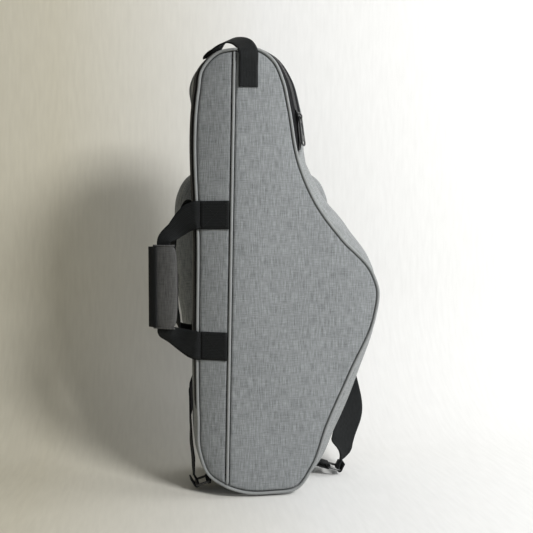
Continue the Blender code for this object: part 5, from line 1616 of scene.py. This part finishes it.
@dataclass
class Pocket:
    """The pocket on the far side: wall, zip on three sides, and a front that tips back."""

    around: int = 260
    levels: int = 14
    flare: float = 0.0045
    roll: float = 0.0012
    inside: tuple[float, float, float] = (0.095, Sizes.depth + 0.02, 0.32)
    zip_stations: tuple[float, float] = (3.5, 14.5)
    zip_margin: float = 0.1
    tooth_count: int = 330
    tooth_section: tuple = ((0, -0.0007), (1, -0.0004), (1, 0.0003), (0, 0.0006))
    tooth_thickness: float = 0.0008
    face_corners: tuple[float, float, float, float] = (15.4, 3.0, 7.0, 11.5)
    face_columns: int = 60
    face_rows: int = 64
    face_rise: float = 0.0042
    face_cloth: float = 0.0038
    crown: float = 0.003
    crown_reach: float = 0.012
    held: float = 0.004
    puff: float = 0.0012

    def loop_strip(self, name: str, first: float, last: float, rows: Sequence[tuple[float, float]],
                   finish: Finish, body: str, node: str, thickness: float, closed: bool = False,
                   rolled: bool = False, padded: Optional[float] = None) -> None:
        """A strip along the pocket's edge.

        Args:
            name: the piece's name.
            first, last: the stations between which it runs.
            rows: its section, as pairs of inset and depth.
            finish: its finish.
            body: the body that it rides on.
            node: the CAD node that it stands for.
            thickness: how thick it is, inwards.
            closed: whether its last station joins its first.
            rolled: whether its edges are rolled in.
            padded: how full of padding it is, where it is padded; passed to dress, which does not use it.
        """
        at = np.linspace(first, last, self.around, endpoint=not closed)
        table = smooth(np.array([(*pair, 0) for pair in rows]), np.linspace(0, len(rows) - 1, self.levels))
        rings = []
        for share, (inset, depth, _) in zip(np.linspace(0, 1, self.levels), table):
            draw = roll_in(min(share, 1 - share) * Sizes.pocket_band, self.roll) if rolled else 0.0
            rings.append(Shape.pocket_ring(at, inset + draw, depth))
        points = np.stack(rings)
        middle = points[self.levels // 2]
        run = arc_length(np.concatenate([middle, middle[:1]]) if closed else middle)
        piece = Surfaces.grid(name, points, spread(run, arc_length(points[:, 0])), wrap_columns=closed)
        Surfaces.face_from(piece, self.inside)
        dress(Surfaces.thicken(piece, thickness), finish, body, node, padded=padded)

    def teeth(self, name: str, body: str, depth: float, phase: float) -> None:
        """A row of the pocket zip's teeth: a low ridge whose height beats once for each tooth.

        Args:
            name: the half of the zip.
            body: the body that it rides on.
            depth: how far behind the case it lies.
            phase: the angle at which its beat starts.
        """
        first, last = self.zip_stations
        at = np.linspace(first + self.zip_margin, last - self.zip_margin, 1500)
        beat = 0.5 + 0.5 * np.sin(np.linspace(0, 2 * math.pi * self.tooth_count, len(at)) + phase)
        points = np.stack([Shape.pocket_ring(at, GAP - share * (0.0002 + 0.0003 * beat), depth + shift)
                           for share, shift in self.tooth_section], axis=1)
        cut = spread(np.linspace(0, 0.001, len(self.tooth_section)), arc_length(points[:, 0]))
        piece = Surfaces.grid(f"pocket_{name}_teeth", points, cut)
        Surfaces.face_from(piece, self.inside)
        dress(Surfaces.thicken(piece, self.tooth_thickness), COIL, body)

    def build(self) -> None:
        """Make the pocket's pieces."""
        base, n = Sizes.pocket_base, Shape.pocket_stations
        tuck = Sizes.pocket_tuck
        walls = ((tuck, GAP), (tuck * 0.35, base * 0.45), (tuck * 0.06, base * 0.8), (0.0, base))
        self.loop_strip("pocket_side", 0, n, walls, CANVAS_WALL, "base", "pocket_wall",
                        Sizes.pocket_wall, closed=True, padded=0.3)
        half = Sizes.pocket_zip / 2
        low = base + GAP
        first, last = self.zip_stations
        for name, body, foot in (("base", "base", low), ("front", "pocket_front", low + half)):
            rows = ((GAP, foot), (GAP, foot + half - GAP))
            self.loop_strip(f"pocket_{name}_tape", first, last, rows, TAPE, body, f"pocket_{name}_zip",
                            Sizes.cloth)
        hinge = low + 2 * half
        rows = ((GAP, low), (GAP, hinge - 2 * GAP))
        self.loop_strip("pocket_fold_cloth", last + self.zip_margin, n + first - self.zip_margin, rows,
                        CANVAS_WALL, "base", "pocket_hinge_cloth", Sizes.cloth)
        self.teeth("base", "base", low + half - 0.0007, 0.0)
        self.teeth("front", "pocket_front", low + half + 0.0005, math.pi)
        tray = hinge + GAP / 2
        rim = tray + Sizes.pocket_band
        rim_rows = ((0, tray), (-self.flare * 0.6, (tray + rim) / 2), (-self.flare, rim - GAP))
        self.loop_strip("pocket_rim", 0, n, rim_rows, CANVAS_WALL, "pocket_front",
                        "pocket_band", Sizes.pocket_wall, closed=True, rolled=True, padded=0.3)
        at = np.linspace(0, n, 320, endpoint=False)
        path = Shape.pocket_ring(at, Sizes.welt - self.flare, rim + Sizes.welt)
        dress(Surfaces.tube("pocket_piping", path, Sizes.welt, closed=True), PIPING, "pocket_front",
              "pocket_welt")
        self.face(rim)

    def face(self, rim: float) -> None:
        """The pocket's padded face: a Coons patch whose depth swells with distance from its seam.

        Args:
            rim: how far behind the case the tray's rim lies.
        """
        edge_in = 2 * Sizes.welt + GAP - self.flare

        def run(first: float, last: float) -> np.ndarray:
            return Shape.pocket_ring(np.linspace(first, last, 200), edge_in, 0.0)[:, [0, 2]]

        low_left, low_right, high_right, high_left = self.face_corners
        grid, edge = framed(run(low_left, low_right + Shape.pocket_stations), run(high_left, high_right),
                            run(low_left, high_left), run(low_right, high_right),
                            crowded(self.face_columns, 0.7), crowded(self.face_rows, 0.7))
        away = edge_distance(grid, edge)
        swell = self.crown * (1 - np.exp(-away / self.crown_reach))
        depth = Sizes.depth + rim + self.face_rise - roll_in(away) + swell
        points = np.stack([grid[..., 0], depth, grid[..., 1]], axis=-1)
        piece = Surfaces.grid("pocket_face", points, grid)
        Surfaces.face_from(piece, (0.1, 0.0, 0.32))
        Surfaces.swell(piece, (away < self.held).ravel(), self.puff, 3.0)
        dress(Surfaces.thicken(piece, self.face_cloth), CANVAS, "pocket_front", "pocket_panel", padded=0.4)


class Side(Enum):
    """The two shoulder straps."""

    LEFT = "left"
    RIGHT = "right"


@dataclass
class ShoulderStrap:
    """A shoulder strap: tab and ring at the foot, webbing up the back, and its sewn top.

    The tab is sewn at a station of the outline, at a share of the wall's depth, and leans by the tilt.
    The hem is the way that the strap leaves its ring. Each row of the route has shares of the case's
    width, depth, pocket depth and height, and then the way that the strap's width lies.
    """

    side: Side
    station: float
    share: float
    tilt: float
    tab_length: float
    hem: tuple[float, float, float]
    route: tuple
    ring_radius: float = 0.0016
    ring_width: float = 0.030
    ring_length: float = 0.018
    tab_width: float = 0.0245
    hem_length: float = 0.011
    head_rise: float = 0.0165
    sewn_length: float = 0.030
    box_tall: float = 0.024
    box_inset: float = 0.004

    @property
    def layer(self) -> float:
        """How far the middle of the webbing keeps from the middle of a ring's bar."""
        return self.ring_radius + 2 * GAP + Sizes.web / 2

    def folded(self, bar: np.ndarray, heading: np.ndarray, side: np.ndarray, length: float) -> list:
        """A strip that comes along one side, turns round a bar and goes back along the other.

        Args:
            bar: the bar's middle.
            heading: the way back from it.
            side: the way to the strip's first side.
            length: how long its straight parts are.

        Returns:
            Points of the strip's middle line.
        """
        radius = self.layer
        turns = np.linspace(0, math.pi, 9)[1:-1]
        start, end = bar + side * radius, bar - side * radius
        arc = [bar + radius * (math.cos(t) * side - math.sin(t) * heading) for t in turns]
        return [start + heading * length, start, *arc, end, end + heading * length]

    def seat(self) -> tuple[np.ndarray, np.ndarray, np.ndarray]:
        """Where the tab is sewn to the wall.

        Returns:
            Its place, the way a ring's bar lies there, and the way the tab heads out.
        """
        near = self.station + row(-0.02, 0.0, 0.02)
        place, normal, _ = Shape.outline_at(near)
        deep = Sizes.depth - Shape.front_y(place[:, 0], place[:, 1])
        line = Shape.skin(near, deep * self.share)
        deeper = Shape.skin(near[1:2], deep[1:2] * (self.share + 0.05))[0]
        along = unit(line[2] - line[0])
        bar = unit(deeper - line[1])
        outward = unit(np.cross(bar, along))
        if outward[0] * normal[1, 0] + outward[2] * normal[1, 1] < 0:
            outward = -outward
        return line[1], bar, math.cos(self.tilt) * outward + math.sin(self.tilt) * along

    def tab(self, centre: np.ndarray, bar: np.ndarray, heading: np.ndarray) -> None:
        """The tab that holds the ring.

        Args:
            centre: the ring's middle.
            bar, heading: the ways that seat gives.
        """
        low_bar = centre - heading * self.ring_length / 2
        margin = self.layer * abs(math.tan(self.tilt)) + SLACK + 3 * GAP
        length = self.tab_length - self.ring_length / 2 - margin
        path = np.array(self.folded(low_bar, -heading, np.cross(heading, bar), length))
        name = self.side.value
        piece = Surfaces.ribbon(f"{name}_tab", path, np.tile(bar, (len(path), 1)), self.tab_width)
        dress(piece, WEBBING, "base", f"{name}_ring_tab")

    def ring(self, centre: np.ndarray, bar: np.ndarray, heading: np.ndarray) -> None:
        """The rectangular wire ring.

        Args:
            centre: the ring's middle.
            bar, heading: the ways that seat gives.
        """
        corner = 2.4 * self.ring_radius
        spots = []
        for quarter, (a, b) in enumerate(((1, 1), (-1, 1), (-1, -1), (1, -1))):
            middle = centre + heading * a * (self.ring_length / 2 - corner)
            middle = middle + bar * b * (self.ring_width / 2 - corner)
            t = quarter * math.pi / 2 + np.linspace(0, math.pi / 2, 9)[:, None]
            spots.append(middle + corner * (np.cos(t) * heading + np.sin(t) * bar))
        name = self.side.value
        wire = Surfaces.tube(f"{name}_wire_ring", np.vstack(spots), self.ring_radius, closed=True, sides=16)
        dress(wire, METAL, "base", f"{name}_ring")

    def strap(self, high_bar: np.ndarray, bar: np.ndarray) -> None:
        """The strap, from its hem round the ring up to its sewn top, with the stitches there.

        Args:
            high_bar: the middle of the ring's far bar.
            bar: the way that bar lies.
        """
        name = self.side.value
        hem = row(*self.hem)
        hem = unit(hem - bar * np.dot(hem, bar))
        hem_side = np.cross(hem, bar)
        hem_side = -hem_side if hem_side[0] < 0 else hem_side
        turn_side = hem_side if self.side is Side.RIGHT else -hem_side
        fold = np.array(self.folded(high_bar, hem, turn_side, self.hem_length))
        rows = np.array(self.route)
        pocket = Sizes.pocket_base + Sizes.pocket_zip + Sizes.pocket_band + Sizes.pocket_bulge
        spots = rows[:, :4] * [Sizes.width, Sizes.depth, pocket, Sizes.height]
        route = np.column_stack([spots[:, 0], spots[:, 1] + spots[:, 2], spots[:, 3]])
        head = route[-1] + [0, 0, self.head_rise]
        head[1] = Sizes.depth + Sizes.web / 2 + GAP
        count = len(rows) + 2
        at = np.linspace(0, count, count * 9 + 1)
        bar_up = bar if bar[1] > 0 else -bar
        turns = np.vstack([bar_up, rows[:, 4:], (1, 0, 0), (1, 0, 0)])
        centres = smooth(np.vstack([fold[-1:], route, head, head + [0, 0, self.sewn_length]]), at)
        sewn = at >= len(rows)
        centres[sewn, 1] = np.maximum(centres[sewn, 1], head[1])
        widths = np.interp(at, [0, 0.2, 0.8], [self.tab_width, self.tab_width, Sizes.wide])
        centres = np.vstack([fold[:-1], centres])
        turns = np.vstack([np.tile(bar_up, (len(fold) - 1, 1)), eased(turns, at)])
        widths = np.concatenate([np.full(len(fold) - 1, self.tab_width), widths])
        piece = Surfaces.ribbon(f"{name}_strap", centres, turns, widths, columns=11)
        dress(piece, WEBBING, "base", f"{name}_shoulder_strap")
        half = Sizes.wide / 2 - self.box_inset
        low = head[2] + (self.sewn_length - self.box_tall) / 2
        corner = row(head[0] - half, head[1] + Sizes.web / 2 + Sizes.thread_rise, low)
        sewn_box(f"{name}_strap_stitches", corner, row(2 * half, 0, 0), row(0, 0, self.box_tall),
                 row(0, 1, 0), "base")

    def build(self) -> None:
        """Make the tab, the ring and the strap."""
        seat, bar, heading = self.seat()
        centre = seat + heading * self.tab_length
        self.tab(centre, bar, heading)
        self.ring(centre, bar, heading)
        self.strap(centre + heading * self.ring_length / 2, bar)


RIGHT_ROUTE = (
    (0.903, 0.710, 0.0, 0.057, 0.93, 0.36, -0.10),
    (0.928, 0.765, 0.0, 0.083, 0.94, 0.28, -0.10),
    (0.980, 0.870, 0.0, 0.130, 0.95, -0.05, -0.10),
    (0.992, 1.0, 0.34, 0.188, 0.96, -0.20, 0.00),
    (0.958, 1.0, 0.60, 0.243, 0.95, -0.10, 0.10),
    (0.901, 1.0, 0.92, 0.302, 0.95, 0.20, 0.20),
    (0.804, 1.0, 1.16, 0.356, 0.95, 0.00, 0.30),
    (0.670, 1.0, 1.20, 0.436, 0.95, 0.00, 0.30),
    (0.520, 1.0, 1.22, 0.570, 0.98, 0.00, 0.15),
    (0.450, 1.0, 1.22, 0.680, 1.00, 0.00, 0.10),
    (0.420, 1.0, 1.02, 0.750, 1.00, 0.00, 0.05),
    (0.405, 1.0, 0.62, 0.800, 1.00, 0.00, 0.05),
    (0.395, 1.0, 0.25, 0.850, 1.00, 0.00, 0.05),
)
LEFT_ROUTE = (
    (-0.020, 0.400, 0.0, 0.055, -0.06, 0.98, -0.10),
    (-0.029, 0.490, 0.0, 0.098, -0.04, 0.96, -0.15),
    (-0.029, 0.650, 0.0, 0.134, 0.02, 0.80, -0.55),
    (-0.026, 0.860, 0.0, 0.154, 0.04, 0.45, -0.88),
    (-0.008, 1.0, 0.18, 0.172, 0.20, 0.50, -0.82),
    (0.066, 1.0, 0.74, 0.210, 0.80, 0.40, -0.40),
    (0.154, 1.0, 1.08, 0.268, 1.00, 0.10, -0.20),
    (0.211, 1.0, 1.20, 0.340, 1.00, 0.00, -0.10),
    (0.227, 1.0, 1.22, 0.470, 1.00, 0.00, 0.00),
    (0.210, 1.0, 1.22, 0.650, 1.00, 0.00, 0.05),
    (0.195, 1.0, 1.02, 0.750, 1.00, 0.00, 0.05),
    (0.187, 1.0, 0.62, 0.800, 1.00, 0.00, 0.05),
    (0.180, 1.0, 0.25, 0.850, 1.00, 0.00, 0.05),
)


@dataclass
class Inside:
    """The foam bed with its hollows, the blocks and the strap that hold the instrument."""

    strap_height: float = 0.560 * Sizes.height
    bed_front: float = 0.044
    arch: float = 0.012
    patch: float = 0.024
    pile: float = 0.0012

    def build(self) -> None:
        """Make the inside's pieces."""
        blocks = (("foam_bed", "instrument_bed", 0.005), ("neck_block", "neck_cradle", 0.002),
                  ("bow_cushion", "bow_pad", 0.002))
        for name, node, voxel in blocks:
            piece = Surfaces.remeshed(name, node, voxel, 4)
            dress(piece, FOAM_COVER, "base", node, padded=0.8)
        first, last = 0.085 * Sizes.width, 0.520 * Sizes.width
        flat = self.bed_front - GAP - Sizes.web / 2
        over = self.bed_front - self.arch
        pad = self.pile + 2 * GAP
        z = self.strap_height
        places = [
            (first, flat, z),
            (first + self.patch, flat, z),
            (first + self.patch * 1.8, over, z),
            (last - self.patch * 1.8, over, z),
            (last - self.patch - pad, flat - pad, z),
            (last, flat - pad, z),
        ]
        at = np.linspace(0, 5, 61)
        centres = eased(places, at)
        piece = Surfaces.ribbon("holding_strap", centres, np.tile(row(0, 0, 1), (61, 1)), Sizes.narrow)
        dress(piece, WEBBING, "base", "hold_strap")
        u = np.linspace(last - self.patch, last, 16)
        v = np.linspace(z - Sizes.narrow / 2, z + Sizes.narrow / 2, 16)
        grid = np.stack(np.meshgrid(u, v), axis=-1)
        deep = np.full(grid.shape[:2], self.bed_front - GAP - self.pile)
        points = np.stack([grid[..., 0], deep, grid[..., 1]], axis=-1)
        piece = Surfaces.grid("holding_strap_pile", points, grid)
        Surfaces.face_from(piece, (0.1, 0.4, 0.33))
        dress(Surfaces.thicken(piece, Sizes.cloth), PLUSH, "base", "hold_strap_patch")


@dataclass
class Hardware:
    """The hard pieces whose CAD shape is right: each gets its finish."""

    metal: tuple[str, ...] = ("main_slider", "main_pull", "pocket_slider", "pocket_pull", "loop_stud",
                              "loop_stud_cap")
    plastic: tuple[str, ...] = ("left_adjuster", "right_adjuster")

    def build(self) -> None:
        """Put the finishes on the CAD nodes."""
        for names, finish in ((self.metal, METAL), (self.plastic, PLASTIC)):
            for name in names:
                coat(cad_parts[name], finish)
                LOG.info("%s keeps its shape", name)


@dataclass
class Studio:
    """Pale floor and backdrop, soft light and the photograph's camera."""

    target: tuple[float, float, float] = (-0.00407, -0.08495, 0.313)
    distance: float = 1.0
    azimuth: float = math.radians(-8.5)
    elevation: float = math.radians(2.5)
    wall: float = 0.34
    bend: float = 0.27

    def sweep(self) -> None:
        """A floor that turns up into a wall through a quarter circle, swept sideways."""
        turns = np.linspace(0, math.pi / 2, 24)
        floor = np.column_stack([np.linspace(-3.0, self.wall - self.bend, 12), np.zeros(12)])
        curve = np.column_stack([
            self.wall - self.bend + self.bend * np.sin(turns), self.bend * (1 - np.cos(turns))])
        rise = np.column_stack([np.full(12, self.wall), np.linspace(self.bend, 3.0, 12)])
        line = np.vstack([floor, curve[1:], rise[1:]])
        xs = np.linspace(-3.0, 3.0, 20)
        x, index = np.meshgrid(xs, np.arange(len(line)), indexing="ij")
        points = np.stack([x, line[index, 0], line[index, 1]], axis=-1) - ORIGIN
        cut = np.stack([x, arc_length(line)[index]], axis=-1)
        stage = Surfaces.grid("backdrop", points, cut)
        Surfaces.face_from(stage, (0.0, 1.0, -1.0))
        stage.data.materials.append(self.paper())

    def paper(self) -> bpy.types.Material:
        """Off-white paper with faint upright streaks and painted shade that makes it darker and warmer
        towards the left, clear from behind.
        """
        material = bpy.data.materials.new("backdrop_paper")
        material.use_nodes = True
        tree = material.node_tree
        shader = tree.nodes["Principled BSDF"]
        shader.inputs["Roughness"].default_value = 1.0
        shader.inputs["Specular IOR Level"].default_value = 0.0
        place = tree.nodes.new("ShaderNodeUVMap")
        place.uv_map = "cut"
        split = tree.nodes.new("ShaderNodeSeparateXYZ")
        tree.links.new(place.outputs["UV"], split.inputs[0])
        # painted shade: the paper gets a darker, warmer colour towards the left, a lighter one towards the
        # right
        side = Threads.clamp(tree, Threads.maths(tree, "MULTIPLY_ADD", split.outputs[0], 2.6, 0.85))
        streak = Threads.noise(tree, place.outputs["UV"], (160.0, 22.0, 1.0), 4.0)
        left = Threads.blend(tree, streak, (0.62, 0.585, 0.48, 1), (0.72, 0.685, 0.57, 1))
        right = Threads.blend(tree, streak, (0.76, 0.76, 0.75, 1), (0.86, 0.86, 0.85, 1))
        tree.links.new(Threads.blend(tree, side, left, right), shader.inputs["Base Color"])
        behind = tree.nodes.new("ShaderNodeNewGeometry").outputs["Backfacing"]
        seen = tree.nodes.new("ShaderNodeLightPath").outputs["Is Camera Ray"]
        clear = tree.nodes.new("ShaderNodeBsdfTransparent")
        mixed = tree.nodes.new("ShaderNodeMixShader")
        tree.links.new(Threads.maths(tree, "MULTIPLY", behind, seen), mixed.inputs[0])
        tree.links.new(shader.outputs[0], mixed.inputs[1])
        tree.links.new(clear.outputs[0], mixed.inputs[2])
        tree.links.new(mixed.outputs[0], tree.nodes["Material Output"].inputs["Surface"])
        return material

    def lamp(self, name: str, place: Sequence[float], size: float, energy: float,
             colour: Sequence[float]) -> None:
        """A square soft lamp aimed at the case.

        Args:
            name: its name.
            place: where it stands, in the world.
            size: the length of its side, in metres.
            energy: its power, in watts.
            colour: its colour.
        """
        data = bpy.data.lights.new(name, "AREA")
        data.size = size
        data.energy = energy
        data.color = colour
        lamp = bpy.data.objects.new(name, data)
        lamp.location = place
        aim = Vector(self.target) - Vector(place)
        lamp.rotation_euler = aim.to_track_quat("-Z", "Y").to_euler()
        bpy.context.scene.collection.objects.link(lamp)

    def build(self) -> None:
        """Make the stage, the lamps and the camera."""
        self.sweep()
        self.lamp("key_lamp", (0.95, -1.40, 1.30), 0.5, 31.0, (1.0, 0.995, 0.98))
        self.lamp("side_lamp", (1.7, -0.35, 1.1), 0.9, 13.0, (1.0, 1.0, 1.0))
        world = bpy.data.worlds.new("studio_air")
        world.use_nodes = True
        shade = world.node_tree.nodes["Background"]
        shade.inputs["Color"].default_value = (0.95, 0.97, 1.0, 1)
        shade.inputs["Strength"].default_value = 0.16
        scene = bpy.context.scene
        scene.world = world
        scene.view_settings.view_transform = "Standard"
        camera = bpy.data.objects.new("photo_camera", bpy.data.cameras.new("photo_camera"))
        camera.data.sensor_width = 36.0
        camera.data.lens = 50.4
        flat = math.cos(self.elevation)
        away = Vector((math.sin(self.azimuth) * flat, -math.cos(self.azimuth) * flat,
                       math.sin(self.elevation)))
        camera.location = Vector(self.target) + away * self.distance
        camera.rotation_euler = (-away).to_track_quat("-Z", "Y").to_euler()
        scene.collection.objects.link(camera)
        scene.camera = camera


def main() -> None:
    """Build every sub-assembly in order, logging each as it is done."""
    logging.basicConfig(level=logging.INFO, format="%(message)s")
    assemblies = [
        Studio(),
        FrontPanels(),
        Body(),
        MainZip(),
        CarryHandle(),
        TopLoop(),
        Pocket(),
        ShoulderStrap(Side.RIGHT, 2.85, 0.60, math.radians(31.0), 0.035, (0.45, 0.1, 0.9), RIGHT_ROUTE),
        ShoulderStrap(Side.LEFT, 23.5, 0.27, math.radians(-38.0), 0.017, (-0.5, 0.0, 0.86), LEFT_ROUTE),
        Inside(),
        Hardware(),
    ]
    for assembly in assemblies:
        assembly.build()
        LOG.info("%s done", type(assembly).__name__)


if __name__ == "__main__":
    main()
